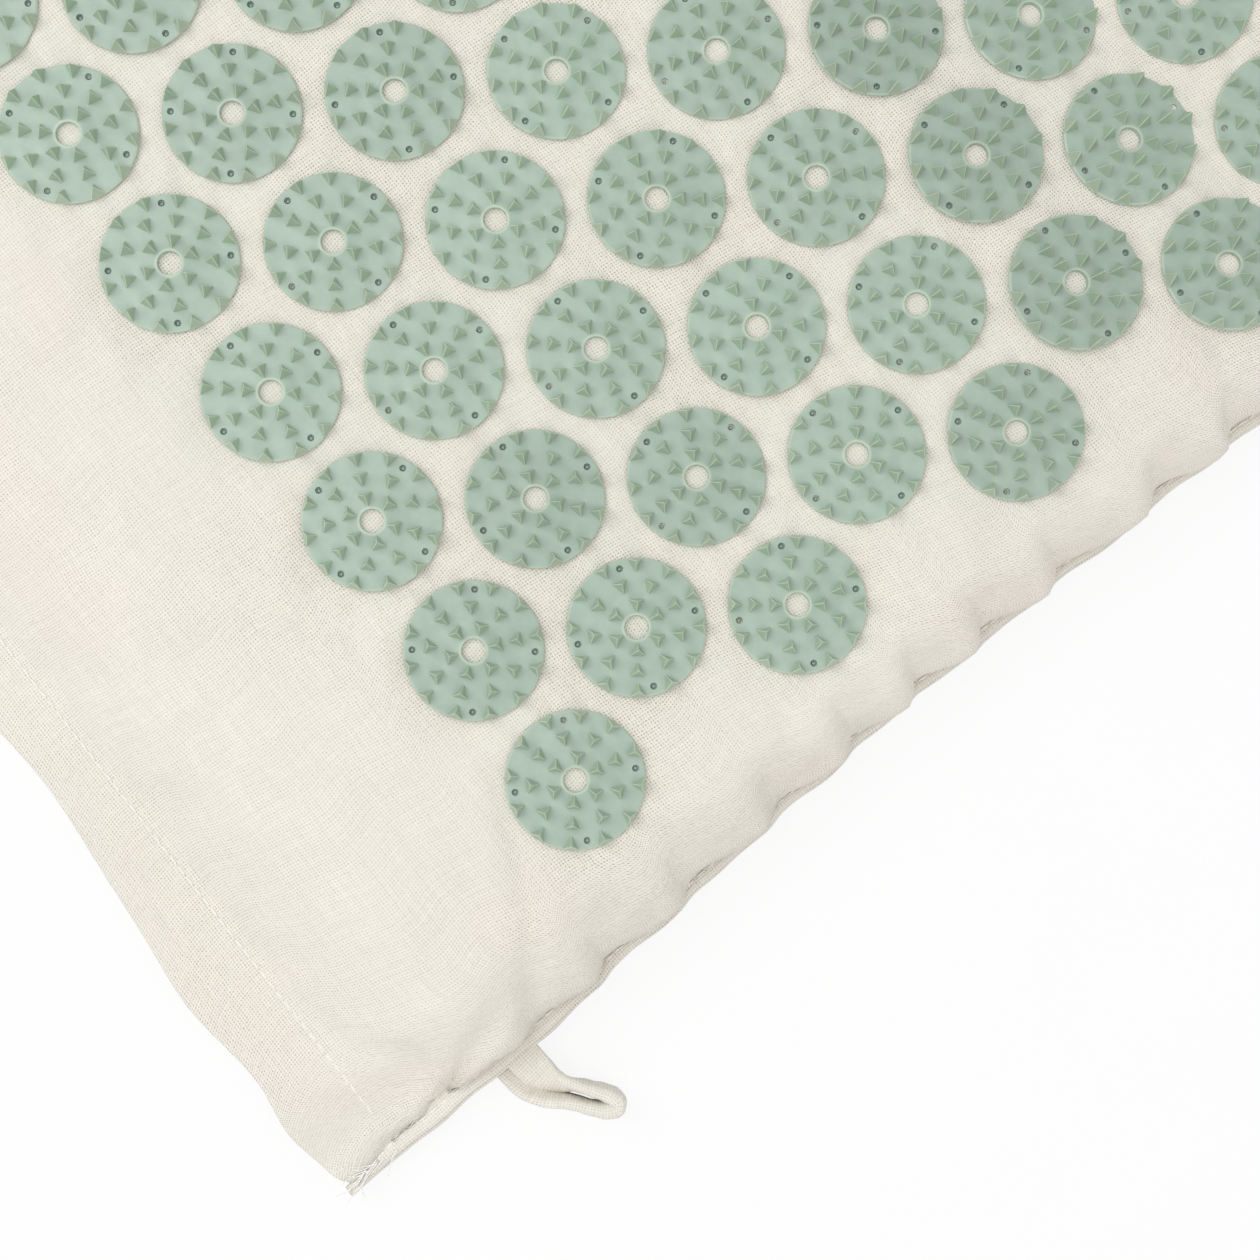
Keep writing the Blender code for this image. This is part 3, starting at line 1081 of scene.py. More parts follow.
    def creases(self, place: Any, side: int, inward: Any) -> Any:
        """Depth of the gathers that run in from a seam, deepest at its tucks.

        Args:
            place: X on a long side, or Y on the closed end.
            side: As in phase.
            inward: Distance in from the seam.

        Returns:
            The depth there.
        """
        phase = self.phase(place + 0.25 * inward, side)
        from_tuck = np.abs(phase - np.round(phase)) * self.tuck_spacing
        kind = 0.55 + 0.45 * np.sin(np.round(phase) * 1.9 + side)
        deep = self.gather.depth * kind * np.exp(-(from_tuck / self.gather.width) ** 2
                                                 - inward / self.gather_reach)
        half = np.abs(np.mod(phase * 2 + 0.37, 1) - 0.5) * self.tuck_spacing
        deep = deep + self.pleat.depth * np.exp(-(half / self.pleat.width) ** 2
                                                - inward / self.pleat_reach)
        return deep + 0.0004 * np.sin(phase * 2 * math.pi - 1.2) * np.exp(-inward / 0.013)

    def front(self, lattice: Lattice) -> np.ndarray:
        """A grid of points on the front cloth's outer face.

        Args:
            lattice: The grid's places.

        Returns:
            The grid.
        """
        plan = self.plan
        x, y, end_share, side_share, side = lattice.grids()
        end_seam = plan.seam_x + self.end_lean(y)
        inward_x, rise_x = self.roll(end_share, plan.seam_x - plan.flat_end + self.end_lean(y),
                                     self.overhang(y, 0, -plan.seam_y, plan.seam_y))
        x = np.where(end_share < 1, end_seam - inward_x, x)
        off_lip = 1 - ease((plan.lip_x - x + 0.002) / 0.004)
        side_width = plan.seam_y - plan.field_half_width + self.lean(x, side)
        overhang = np.where(side < 0, self.overhang(x, -1, plan.lip_x, plan.seam_x),
                            self.overhang(x, 1, plan.lip_x, plan.seam_x))
        inward_y, rise_y = self.roll(side_share, side_width, overhang * off_lip)
        y = np.where(side_share < 1, side * (plan.field_half_width + side_width - inward_y), y)
        rise = np.where(end_share < 1, rise_x, 1) * np.where(side_share < 1, rise_y, 1)
        z = between(self.seam_z(x, y) + plan.welt_half, self.roof(x, y) - self.dimples(x, y),
                    between(rise, 1, 1 - off_lip))
        from_side = np.abs(plan.field_half_width + side_width - np.abs(y))
        away = self.settled(x, plan.lip_x - 0.03, plan.seam_x)
        gathers = np.where(side < 0, self.creases(x, -1, from_side), self.creases(x, 1, from_side))
        z = z - gathers * away * ease(side_share * 3) * off_lip
        from_end = np.abs(end_seam - x)
        z = z - self.creases(y, 0, from_end) * ease(end_share * 3) * ease((x - 0.25) / 0.03)
        z = z - sum(fold.at(x, y) for fold in self.folds) * off_lip
        edge = self.edge_shift(y) * (1 - ease((x - plan.open_x) / self.edge_fade))
        return np.stack([x + edge, y, z], -1)

    def back(self, lattice: Lattice) -> np.ndarray:
        """A grid of points on the back cloth's outer face.

        Args:
            lattice: The grid's places.

        Returns:
            The grid.
        """
        plan = self.plan
        x, y, end_share, side_share, side = lattice.grids()
        end_angle, side_angle = end_share * math.pi / 2, side_share * math.pi / 2
        end_seam = plan.seam_x + self.end_lean(y)
        x = np.where(end_share < 1, end_seam - plan.back_roll * (1 - np.cos(end_angle)), x)
        lean = self.lean(x, side)
        inward = plan.back_roll * (1 - np.cos(side_angle))
        flat_y = plan.seam_y - plan.back_roll
        y = np.where(side_share < 1, side * (plan.seam_y + lean - inward),
                     y + side * lean * np.clip(np.abs(y) / flat_y, 0, 1) ** 4)
        fall = np.where(end_share < 1, np.sin(end_angle), 1)
        fall = fall * np.where(side_share < 1, np.sin(side_angle), 1)
        lift = 0.00025 * (1 + np.sin(x / 0.0085 + 2 * np.sin(y / 0.033)) * np.sin(y / 0.011))
        near_edge = np.exp(-np.clip(plan.seam_y - np.abs(y) - 0.012, 0, 1) / 0.02)
        z = between(self.seam_z(x, y) - plan.welt_half,
                    lift * near_edge * ease((x - plan.lip_x) / 0.03), fall)
        edge = (self.edge_shift(y) + 0.0005) * (1 - ease((x - plan.open_x) / self.edge_fade))
        return np.stack([x + edge, y, z], -1)


# ---------------------------------------------------------------- geometry trees


class GeometryTree(Net):
    """A Geometry Nodes tree with named inputs, run on an object and turned into a plain mesh."""

    def __init__(self, name: str, sockets: dict[str, Union[str, float]]) -> None:
        """Opens a tree with a geometry, a material and its own named inputs.

        Args:
            name: The tree's name.
            sockets: For each input a default number, or else the name of its type.
        """
        super().__init__(bpy.data.node_groups.new(name, "GeometryNodeTree"))
        face = self.tree.interface
        for direction in ("INPUT", "OUTPUT"):
            face.new_socket("Geometry", in_out=direction, socket_type="NodeSocketGeometry")
        for socket, value in {**sockets, "Material": "Material"}.items():
            kind = value if isinstance(value, str) else type(value).__name__.title()
            made = face.new_socket(socket, in_out="INPUT", socket_type="NodeSocket" + kind)
            if not isinstance(value, str):
                made.default_value = value
        self.inputs = self.add("NodeGroupInput", {})

    def __getitem__(self, name: str) -> Signal:
        """One of the tree's inputs."""
        return self.inputs[name]

    def shape_of(self, name: str) -> Signal:
        """The geometry of the object in a named input."""
        return self.add("GeometryNodeObjectInfo", {"Object": self[name]}, "Geometry")

    def chance(self, low: float, high: float) -> Signal:
        """A random number between two others, by the tree's seed."""
        return self.add("FunctionNodeRandomValue", {2: low, 3: high, "Seed": self["Seed"]}, 1,
                        data_type="FLOAT")

    def named(self, name: str, kind: str) -> Signal:
        """Reads an attribute of that kind."""
        return self.add("GeometryNodeInputNamedAttribute", {"Name": name}, data_type=kind)

    def mark(self, geometry: Signal, name: str, value: Number, domain: str = "POINT",
             kind: str = "FLOAT") -> Signal:
        """Stores a value on a geometry under a name.

        Args:
            geometry: The geometry.
            name: The attribute's name.
            value: What is stored.
            domain: What kind of element has it.
            kind: The attribute's type.

        Returns:
            The geometry with the attribute.
        """
        return self.add("GeometryNodeStoreNamedAttribute",
                        {"Geometry": geometry, "Name": name, "Value": value},
                        data_type=kind, domain=domain)

    def join(self, *parts: Signal) -> Signal:
        """Joins geometries.

        Args:
            parts: The geometries.

        Returns:
            One geometry.
        """
        joined = self.add("GeometryNodeJoinGeometry", {})
        for part in parts:
            self.feed(joined.socket.node, {0: part})
        return joined

    def spun(self, rotation: Signal, axis: Sequence[float], angle: Signal) -> Signal:
        """A rotation with a turn about one of its own axes added.

        Args:
            rotation: The rotation.
            axis: Its own axis.
            angle: The turn's angle.

        Returns:
            The new rotation.
        """
        turn = self.add("FunctionNodeAxisAngleToRotation", {"Axis": axis, "Angle": angle})
        return self.add("FunctionNodeRotateRotation", {0: rotation, 1: turn},
                        rotation_space="LOCAL")

    def place(self, points: Signal, part: Signal, **values: Signal) -> Signal:
        """Places a part on each point."""
        return self.add("GeometryNodeInstanceOnPoints",
                        {"Points": points, "Instance": part, **values})

    def ring(self, count: Number, radius: Signal, part: Signal, start: float = 0.0,
             height: Number = 0.0, faced: bool = True) -> Signal:
        """Places a part on a ring round the Z axis.

        Args:
            count: How many.
            radius: The ring's radius.
            part: What is placed.
            start: The angle of the first.
            height: How high.
            faced: Whether each is turned to face the axis.

        Returns:
            The instances.
        """
        points = self.add("GeometryNodeMeshCircle", {"Vertices": count, "Radius": radius})
        turn = {}
        if faced:
            place = self.add("GeometryNodeInputPosition", {})
            turn["Rotation"] = self.add("FunctionNodeAlignRotationToVector", {"Vector": place},
                                        axis="X", pivot_axis="Z")
        return self.add("GeometryNodeTransform", {
            "Geometry": self.place(points, part, **turn), "Rotation": (0.0, 0.0, start),
            "Translation": self.vector(0.0, 0.0, height)})

    def realised(self, geometry: Signal) -> Signal:
        """Turns instances into real geometry."""
        return self.add("GeometryNodeRealizeInstances", {"Geometry": geometry})

    def close(self, geometry: Signal) -> None:
        """Realises the instances, sets the material and ends the tree.

        Args:
            geometry: The tree's result.
        """
        done = self.add("GeometryNodeSetMaterial", {"Geometry": self.realised(geometry),
                                                    "Material": self["Material"]})
        self.add("NodeGroupOutput", {"Geometry": done})

    def grow(self, name: str, host: Item, values: dict[str, Any]) -> Item:
        """Runs the tree on a host object.

        Args:
            name: The new piece's name.
            host: The object that the tree reads. It is removed.
            values: A value for each named input.

        Returns:
            A plain mesh object with the result.
        """
        modifier = host.modifiers.new(self.tree.name, "NODES")
        modifier.node_group = self.tree
        for item in self.tree.interface.items_tree:
            if item.item_type == "SOCKET" and item.in_out == "INPUT" and item.name in values:
                modifier[item.identifier] = values[item.name]
        graph = bpy.context.evaluated_depsgraph_get()
        mesh = bpy.data.meshes.new_from_object(host.evaluated_get(graph), depsgraph=graph)
        mesh.name = name
        remove(host)
        return link(name, mesh)


class StitchTree(GeometryTree):
    """Lays stitches of thread end to end along a line."""

    def __init__(self) -> None:
        """Builds the tree."""
        super().__init__("stitch line", {"Stitch": "Object", "Spacing": 0.0026, "Seed": 0})
        curve = self.add("GeometryNodeMeshToCurve", {"Mesh": self["Geometry"]})
        places = self.add("GeometryNodeCurveToPoints",
                          {"Curve": curve, "Length": self["Spacing"]}, mode="LENGTH")
        turn = self.spun(places["Rotation"], (0.0, 1.0, 0.0), self.chance(-0.10, 0.10))
        self.close(self.place(places["Points"], self.shape_of("Stitch"), Rotation=turn,
                              Scale=self.vector(1.0, 1.0, self.chance(0.88, 1.08))))


class DiscTree(GeometryTree):
    """A spiked disc: its plate with pin holes cut into it, and spikes in three rings."""

    def __init__(self) -> None:
        """Builds the tree."""
        rings = {1: (6, 0.0046), 2: (9, 0.0085), 3: (12, 0.0124)}
        super().__init__("spiked disc", {
            "Spike": "Object", "Pin hole": "Object", "Pin radius": PIN_RING, "Top": 0.0016,
            **{f"Ring {index} count": count for index, (count, _) in rings.items()},
            **{f"Ring {index} radius": radius for index, (_, radius) in rings.items()}})
        drills = self.ring(PIN_COUNT, self["Pin radius"], self.shape_of("Pin hole"), PIN_TURN)
        plate = self.add("GeometryNodeMeshBoolean",
                         {"Mesh 1": self["Geometry"], "Mesh 2": self.realised(drills)}, "Mesh",
                         operation="DIFFERENCE", solver="EXACT")
        spikes = self.join(*(
            self.ring(self[f"Ring {index} count"], self[f"Ring {index} radius"],
                      self.shape_of("Spike"), height=self["Top"]) for index in rings))
        self.close(self.join(self.mark(plate, "spike", 0.0),
                             self.mark(self.realised(spikes), "spike", 1.0)))


class ClampTree(GeometryTree):
    """A clamping plate with its pins."""

    def __init__(self) -> None:
        """Builds the tree."""
        super().__init__("clamping plate", {"Pin": "Object", "Pin radius": PIN_RING})
        pins = self.ring(PIN_COUNT, self["Pin radius"], self.shape_of("Pin"), PIN_TURN, faced=False)
        self.close(self.join(self["Geometry"], pins))


class RowTree(GeometryTree):
    """Sets a disc on each point of a row, flat on the cloth below it and at that point's turn."""

    def __init__(self) -> None:
        """Builds the tree."""
        super().__init__("disc row", {"Disc": "Object", "Cover": "Object", "Shade": 0.0, "Seed": 0})
        x, y, _ = self.parts(self.add("GeometryNodeInputPosition", {}))
        ray = self.add("GeometryNodeRaycast", {
            "Target Geometry": self.shape_of("Cover"), "Source Position": self.vector(x, y, 0.1),
            "Ray Direction": (0.0, 0.0, -1.0), "Ray Length": 0.2})
        moved = self.add("GeometryNodeSetPosition", {
            "Geometry": self["Geometry"], "Position": ray["Hit Position"]})
        kept = self.mark(moved, "lay", ray["Hit Normal"], kind="FLOAT_VECTOR")
        stand = self.add("FunctionNodeAlignRotationToVector",
                         {"Vector": self.named("lay", "FLOAT_VECTOR")}, axis="Z")
        turn = self.spun(stand, (0.0, 0.0, 1.0), self.named("turn", "FLOAT"))
        placed = self.place(kept, self.shape_of("Disc"), Rotation=turn)
        # A random tone for each disc, plus the row's painted shade.
        tint = self.chance(0.0, 1.0) + self["Shade"]
        self.close(self.mark(placed, "tint", tint, domain="INSTANCE"))


# ---------------------------------------------------------------- sub-assemblies


@dataclass(frozen=True)
class ClothSettling:
    """Blender's cloth simulation, which lets the filled cover settle between its seams."""

    pressure: float = 4.0
    slack: float = 0.014
    frames: int = 20
    most: float = 0.0014
    stretch: float = 12.0
    shear: float = 4.0
    bending: float = 0.4

    def run(self, outer: np.ndarray, held: np.ndarray) -> np.ndarray:
        """Settles a grid of cloth.

        Args:
            outer: The grid of points of its outer face.
            held: Which of them the seams, the lip and the discs hold.

        Returns:
            The settled grid, no point further from its start than the most allowed.
        """
        item = link("settling_cloth", mesh_of("settling_cloth", outer,
                                              grid_faces(*outer.shape[:2])))
        item.vertex_groups.new(name="held").add(np.flatnonzero(held).tolist(), 1.0, "REPLACE")
        modifier = item.modifiers.new("settling", "CLOTH")
        modifier.point_cache.frame_start, modifier.point_cache.frame_end = 1, self.frames
        cloth = modifier.settings
        cloth.quality, cloth.mass = 5, 0.2
        cloth.tension_stiffness = cloth.compression_stiffness = self.stretch
        cloth.shear_stiffness, cloth.bending_stiffness = self.shear, self.bending
        cloth.vertex_group_mass = "held"
        cloth.shrink_min = -self.slack
        cloth.use_pressure, cloth.uniform_pressure_force = True, self.pressure
        cloth.effector_weights.gravity = 0.0
        scene = bpy.context.scene
        for moment in range(1, self.frames + 1):
            scene.frame_set(moment)
        settled = np.empty(outer.size, np.float32)
        graph = bpy.context.evaluated_depsgraph_get()
        item.evaluated_get(graph).data.vertices.foreach_get("co", settled)
        scene.frame_set(1)
        remove(item)
        moved = settled.reshape(outer.shape).astype(float) - outer
        far = np.linalg.norm(moved, axis=-1, keepdims=True)
        LOG.info("cloth settled by up to %.1f mm, held to %.1f mm", far.max() * 1000,
                 self.most * 1000)
        return outer + moved * np.tanh(far / self.most) * self.most / np.maximum(far, 1e-9)


@dataclass
class Cover:
    """The cotton cover: front cloth with its lip, and back cloth."""

    plan: MatPlan
    shape: CoverShape
    front_steps: tuple[float, float, int] = (0.0021, 0.0038, 15)
    back_steps: tuple[float, float, int] = (0.006, 0.006, 8)
    rim_steps: tuple[float, ...] = (0.0, 0.00015, 0.0005, 0.0011)
    lip_step: float = 0.0013
    rim_drop: float = 0.00045
    rim_lift: float = 0.0004
    stitched: Dent = Dent(0.0, 0.0010, 0.00004)

    def lattice(self, end: float, half: float, along: float, across: float,
                rolls: int) -> Lattice:
        """The places of a cloth's grid.

        Args:
            end: X where the closed end's rounded side starts.
            half: Y where the far side's rounded side starts.
            along: Spacing along the flat part.
            across: Spacing across it.
            rolls: How many steps a rounded side has.

        Returns:
            The places.
        """
        plan, shares = self.plan, np.linspace(0, 1, rolls + 1)[:-1]
        xs = np.concatenate([plan.open_x + np.array(self.rim_steps),
                             steps(plan.open_x + 0.0022, plan.lip_x - 0.0008, self.lip_step),
                             steps(plan.lip_x, end, along)])
        ys = steps(-half, half, across)
        return Lattice(np.append(xs, np.full(rolls, end)),
                       np.append(np.ones(len(xs)), shares[::-1]),
                       np.concatenate([np.full(rolls, -half), ys, np.full(rolls, half)]),
                       np.concatenate([shares, np.ones(len(ys)), shares[::-1]]))

    def hemmed(self, xs: np.ndarray, thinned: float) -> tuple[np.ndarray, np.ndarray]:
        """How near each place along the mat is to the cut rim, and the cloth's thickness there.

        Args:
            xs: Places along the mat.
            thinned: How much the folded hem is thinned at its rim.

        Returns:
            A share from 0 to 1 at the rim, and the thickness, twice the cloth's in the hem.
        """
        rim = np.clip(1 - (xs - self.plan.open_x) / self.rim_steps[-1], 0, 1) ** 2
        hem = 1 - ease((xs - self.plan.lip_x + 0.0012) / 0.0024)
        return rim, self.plan.cloth * (1 + hem) - rim * thinned

    def front_cloth(self) -> Mesh:
        """The front cloth's closed mesh, twice as thick in the folded lip.

        Returns:
            The mesh.
        """
        plan = self.plan
        grid = self.lattice(plan.flat_end, plan.field_half_width, *self.front_steps)
        outer, xs = self.shape.front(grid), grid.xs
        places = self.weave_places(outer)
        under_disc = self.shape.disc_reach(outer[..., 0], outer[..., 1]) < 0.0012
        held = (grid.ends == 0)[:, None] | (grid.rolls == 0)[None, :] | under_disc
        held |= ((xs < plan.lip_x + 0.004) & (grid.ends == 1))[:, None]
        outer = ClothSettling().run(outer, held)
        rim, thickness = self.hemmed(xs, 0.0008)
        outer[:, :, 2] -= (rim * self.rim_drop)[:, None]
        outer[:, :, 2] -= self.stitched.at(xs - plan.lip_x)[:, None]
        mesh = cloth_mesh("front_cloth", outer, thickness, places)
        reach = self.shape.disc_reach(outer[..., 0], outer[..., 1])
        store(mesh, DISC_REACH, [reach, reach])
        return mesh

    def weave_places(self, outer: np.ndarray) -> np.ndarray:
        """Flat places of the front cloth: its yarns follow its seams, and ease down to the lip.

        Args:
            outer: The grid of points of its outer face.

        Returns:
            The flat place of each point.
        """
        eased = outer.copy()
        eased[..., 2] *= between(0.3, 1.0, ease((outer[..., 0] - 0.05) / 0.15))
        places = flat_places(outer)
        places[..., 0] = flat_places(eased)[..., 0]
        across = places[..., 1]
        for seam, half in ((across[:, :1], across < 0), (across[:, -1:], across > 0)):
            places[..., 1] = np.where(half, across * np.median(seam) / seam, places[..., 1])
        return places

    def back_cloth(self) -> Mesh:
        """The back cloth's closed mesh.

        Returns:
            The mesh.
        """
        plan = self.plan
        grid = self.lattice(plan.seam_x - plan.back_roll, plan.seam_y - plan.back_roll,
                            *self.back_steps)
        outer = self.shape.back(grid)
        rim, thickness = self.hemmed(grid.xs, 0.0007)
        outer[:, :, 2] += (rim * self.rim_lift)[:, None]
        outer = outer[:, ::-1]
        return cloth_mesh("back_cloth", outer, thickness, flat_places(outer))

    def build(self, cotton: Material) -> Item:
        """Builds and declares both cloths.

        Args:
            cotton: The cloths' material.

        Returns:
            The front cloth.
        """
        front = declare(link("front_cloth", self.front_cloth(), cotton), "cover_cloth",
                        "front_panel", "closing_lip")
        self.plan.blend_lip(front)
        back = settle(link("back_cloth", self.back_cloth(), cotton), Body.MAT, "cover_cloth",
                      "back_panel")
        return front


@dataclass
class FoamCore:
    """The foam slab inside the cover."""

    plan: MatPlan
    shape: CoverShape
    inset: float = 0.034
    end_gap: float = 0.0026
    side_gap: float = 0.0072
    roof_gap: float = 0.0024
    rounding: float = 0.012
    middle: float = 0.0075
    bottom: float = 0.0013
    step: float = 0.008

    def places(self, low: float, high: float) -> np.ndarray:
        """Places along the slab, close together where it is rounded.

        Args:
            low: The first place.
            high: The last place.

        Returns:
            The places.
        """
        edge = (1 - np.cos(np.linspace(0, 1, 9) * math.pi / 2)) * self.rounding
        flat = steps(low + self.rounding, high - self.rounding, self.step)[1:-1]
        return np.concatenate([low + edge, flat, high - edge[::-1]])

    def rise(self, place: np.ndarray, low: float, high: float) -> np.ndarray:
        """0 at low and high, rounded up to 1 between them."""
        share = np.clip(np.minimum(place - low, high - place) / self.rounding, 0, 1)
        return np.sqrt(1 - (1 - share) ** 2)

    def build(self, foam: Material) -> Item:
        """Builds the slab, crowned under the cover's waves.

        Args:
            foam: Its material.

        Returns:
            The slab.
        """
        span_x = (self.plan.open_x + self.inset, self.plan.seam_x - self.end_gap)
        half_y = self.plan.seam_y - self.side_gap
        x, y = np.meshgrid(self.places(*span_x), self.places(-half_y, half_y), indexing="ij")
        rise = self.rise(x, *span_x) * self.rise(y, -half_y, half_y)
        top = np.maximum(self.shape.roof(x, y) - self.roof_gap, self.middle)
        faces = [np.stack([x, y, between(self.middle, level, rise)], -1)
                 for level in (top, self.bottom)]
        quads = [grid_faces(*x.shape), grid_faces(*x.shape, x.size, turn=True)]
        slab = joined_mesh("foam_core", [mesh_of("slab", faces, np.concatenate(quads))], 0.00002)
        piece = settle(link("foam_core", slab, foam), Body.MAT, "foam", "foam_pad")
        return piece


@dataclass
class SpikedDiscs:
    """The rows of discs on the cover, and the plates that clamp them from behind."""

    plan: MatPlan
    hole_radius: float = 0.0023
    pin_hole_radius: float = 0.00070
    pin_radius: float = 0.00040
    spike_reach: float = 0.00168
    spike_height: float = 0.0038
    ridge: float = 0.00010
    top: float = 0.0011
    plate_sides: int = 44
    clamp_sides: int = 24
    clamp_span: tuple[float, float] = (-0.0021, -0.0008)
    first_seed: int = 11
    # The turns of the discs that the photograph shows, row by row, and how dark some rows are.
    turns: tuple[tuple[float, ...], ...] = (
        (228, 216, 187, 258, 45, 18), (233, 69, 259, 355, 216, 72), (142, 182, 256, 118, 141),
        (174, 4, 201, 6), (117, 290, 86, 158), (338, 8, 306), (158, 73, 113))
    # Painted shade: the discs of these rows are darkened to stand in for their tilt away from the
    # light.
    shades: tuple[float, ...] = (0.0, 0.0, 0.0, 0.0, -0.2, -1.0, -0.6, -0.2)

    def plate(self) -> Item:
        """The disc's plate: a turned profile with a raised rim round its centre hole.

        Returns:
            The plate.
        """
        radius, top, hole = self.plan.disc_diameter / 2, self.top, self.hole_radius
        profile = [(hole, -0.0003), (radius - 0.0009, -0.0003), (radius - 0.0006, 0.0002),
                   (radius, top - 0.00045), (radius - 0.00008, top - 0.00022),
                   (radius - 0.00040, top), (hole + 0.0006, top), (hole + 0.0004, top + 0.00006),
                   (hole + 0.0002, top + 0.00008), (hole + 0.00006, top + 0.00002),
                   (hole, top - 0.0001)]
        mesh = turned_mesh("disc_plate", profile, self.plate_sides)
        # Painted highlights on the outer rim's bevel and on the raised ring round the centre hole.
        pale = {3: 0.4, 4: 0.5, 6: 0.5, 7: 0.8, 8: 0.8}
        store(mesh, EDGE_HIGHLIGHT, [pale.get(index % len(profile), 0.0)
                            for index in range(len(mesh.polygons))], "FACE")
        return link("disc_plate", mesh)

    def spike(self) -> Item:
        """A three-sided spike with blunt ridges, one of them towards the disc's middle.

        Returns:
            The spike.
        """
        rings = []
        for share, height in ((1.05, -0.0001), (0.93, 0.00028), (0.49, 0.0020),
                              (0.11, self.spike_height - 0.0002)):
            reach = self.spike_reach * share
            half = min(self.ridge / reach, 0.9)
            turns = [(math.pi + corner * 2 * math.pi / 3 + swing, reach * out)
                     for corner in range(3)
                     for swing, out in ((-half, 1.0), (half, 1.0), (math.pi / 3, 0.515))]
            rings.append([(out * math.cos(turn), out * math.sin(turn), height)
                          for turn, out in turns])
        mesh = pointed_mesh("spike", rings, self.spike_height)
        sides = (len(rings) - 1) * 9
        # Painted highlights on the spike's ridges and round its tip.
        store(mesh, EDGE_HIGHLIGHT, [float(index % 9 % 3 == 0 or index >= sides)
                            for index in range(len(mesh.polygons))], "FACE")
        return link("spike", mesh)

    def peg(self, name: str, radius: float, low: float, high: float, dome: float,
            sides: int) -> Item:
        """A small upright peg with a domed top.

        Args:
            name: The peg's name.
            radius: Its radius.
            low: The height of its foot.
            high: The height of its top.
            dome: How high the dome is.
            sides: How many sides it has.

        Returns:
            The peg.
        """
        rings = [[(radius * share * math.cos(turn), radius * share * math.sin(turn), height)
                  for turn in circle(sides)]
                 for share, height in ((1.0, low), (1.0, high - dome), (0.7, high - dome * 0.3))]
        return link(name, pointed_mesh(name, rings, high))

    def build(self, cover: Item, plastic: Material) -> None:
        """Builds a disc, then each row of them, and the clamping plates behind as one piece.

        Args:
            cover: The front cloth that they lie on.
            plastic: Their material.
        """
        spike = self.spike()
        drill = self.peg("drill", self.pin_hole_radius, 0.0001, 0.004, 0.0004, 10)
        disc = DiscTree().grow("one_disc", self.plate(), {
            "Spike": spike, "Pin hole": drill, "Top": self.top, "Material": plastic})
        disc.data.set_sharp_from_angle(angle=math.radians(32))
        pin = self.peg("pin", self.pin_radius, -0.0014, self.top - 0.00055, 0.0003, 8)
        low, high = self.clamp_span
        profile = [(0.0030, low), (0.0118, low), (0.0124, low + 0.0004), (0.0124, high),
                   (0.0030, high)]
        clamp = link("clamp_plate", turned_mesh("clamp_plate", profile, self.clamp_sides))
        clamp = ClampTree().grow("one_clamp", clamp, {"Pin": pin})
        rows, clamps = RowTree(), []
        for index in range(self.plan.row_count):
            shade = self.shades[index] if index < len(self.shades) else 0.0
            values = {"Disc": disc, "Cover": cover, "Shade": shade, "Seed": self.first_seed + index,
                      "Material": plastic}
            row = rows.grow(f"disc_row_{index + 1:02d}_discs", self.row_points(index), values)
            settle(row, Body.MAT, "disc_plastic", f"disc_row_{index + 1:02d}")
            clamps.append(rows.grow("clamps", self.row_points(index), {**values, "Disc": clamp}))
        mesh = joined_mesh("clamping_plates", [item.data for item in clamps])
        settle(link("clamping_plates", mesh, plastic), Body.MAT, "disc_plastic")
        remove(*clamps, spike, drill, disc, clamp, pin)

    def row_points(self, index: int) -> Item:
        """A point for each disc of a row, with the disc's turn. Unmeasured turns are random.

        Args:
            index: The row's number, from 0.

        Returns:
            The points' object.
        """
        plan, count = self.plan, self.plan.long_row - index % 2
        points = [(plan.row_x(index), (place - (count - 1) / 2) * plan.disc_spacing, 0.0)
                  for place in range(count)]
        turns = np.random.default_rng(index).uniform(0, 360, count)
        known = self.turns[index] if index < len(self.turns) else ()
        turns[:len(known)] = known
        mesh = mesh_of("row_points", points, [])
        store(mesh, "turn", np.radians(turns))
        return link("row_points", mesh)


@dataclass
class Stitches:
    """Lines of thread, each stitch sunk at its ends."""

    thread: Material
    radius: float = 0.00019
    length: float = 0.0021

    def one(self) -> Item:
        """One stitch, along Z, arched on its outer side.

        Returns:
            The stitch.
        """
        rings = []
        for share in np.arange(7) / 6:
            arch = math.sin(share * math.pi)
            girth = self.radius * (0.45 + 0.55 * arch ** 0.5)
            lift = 0.00010 * arch - 0.00006
            rings.append([(girth * math.cos(turn), girth * math.sin(turn) - lift,
                           (share - 0.5) * self.length) for turn in circle(6)])
        return link("one_stitch", swept_mesh("one_stitch", np.array(rings)))

    def lay(self, name: str, line: np.ndarray, spacing: float, seed: int) -> Item:
        """Lays stitches along a line.

        Args:
            name: The piece's name.
            line: Points along the line.
            spacing: From one stitch to the next.
            seed: For their uneven lengths.

        Returns:
            The piece, which rides on no body yet.
        """
        mesh = bpy.data.meshes.new("stitch_line")
        mesh.from_pydata(line.tolist(), [(i, i + 1) for i in range(len(line) - 1)], [])
        stitch = self.one()
        piece = StitchTree().grow(name, link("stitch_line", mesh), {
            "Stitch": stitch, "Spacing": spacing, "Seed": seed, "Material": self.thread})
        remove(stitch)
        return piece


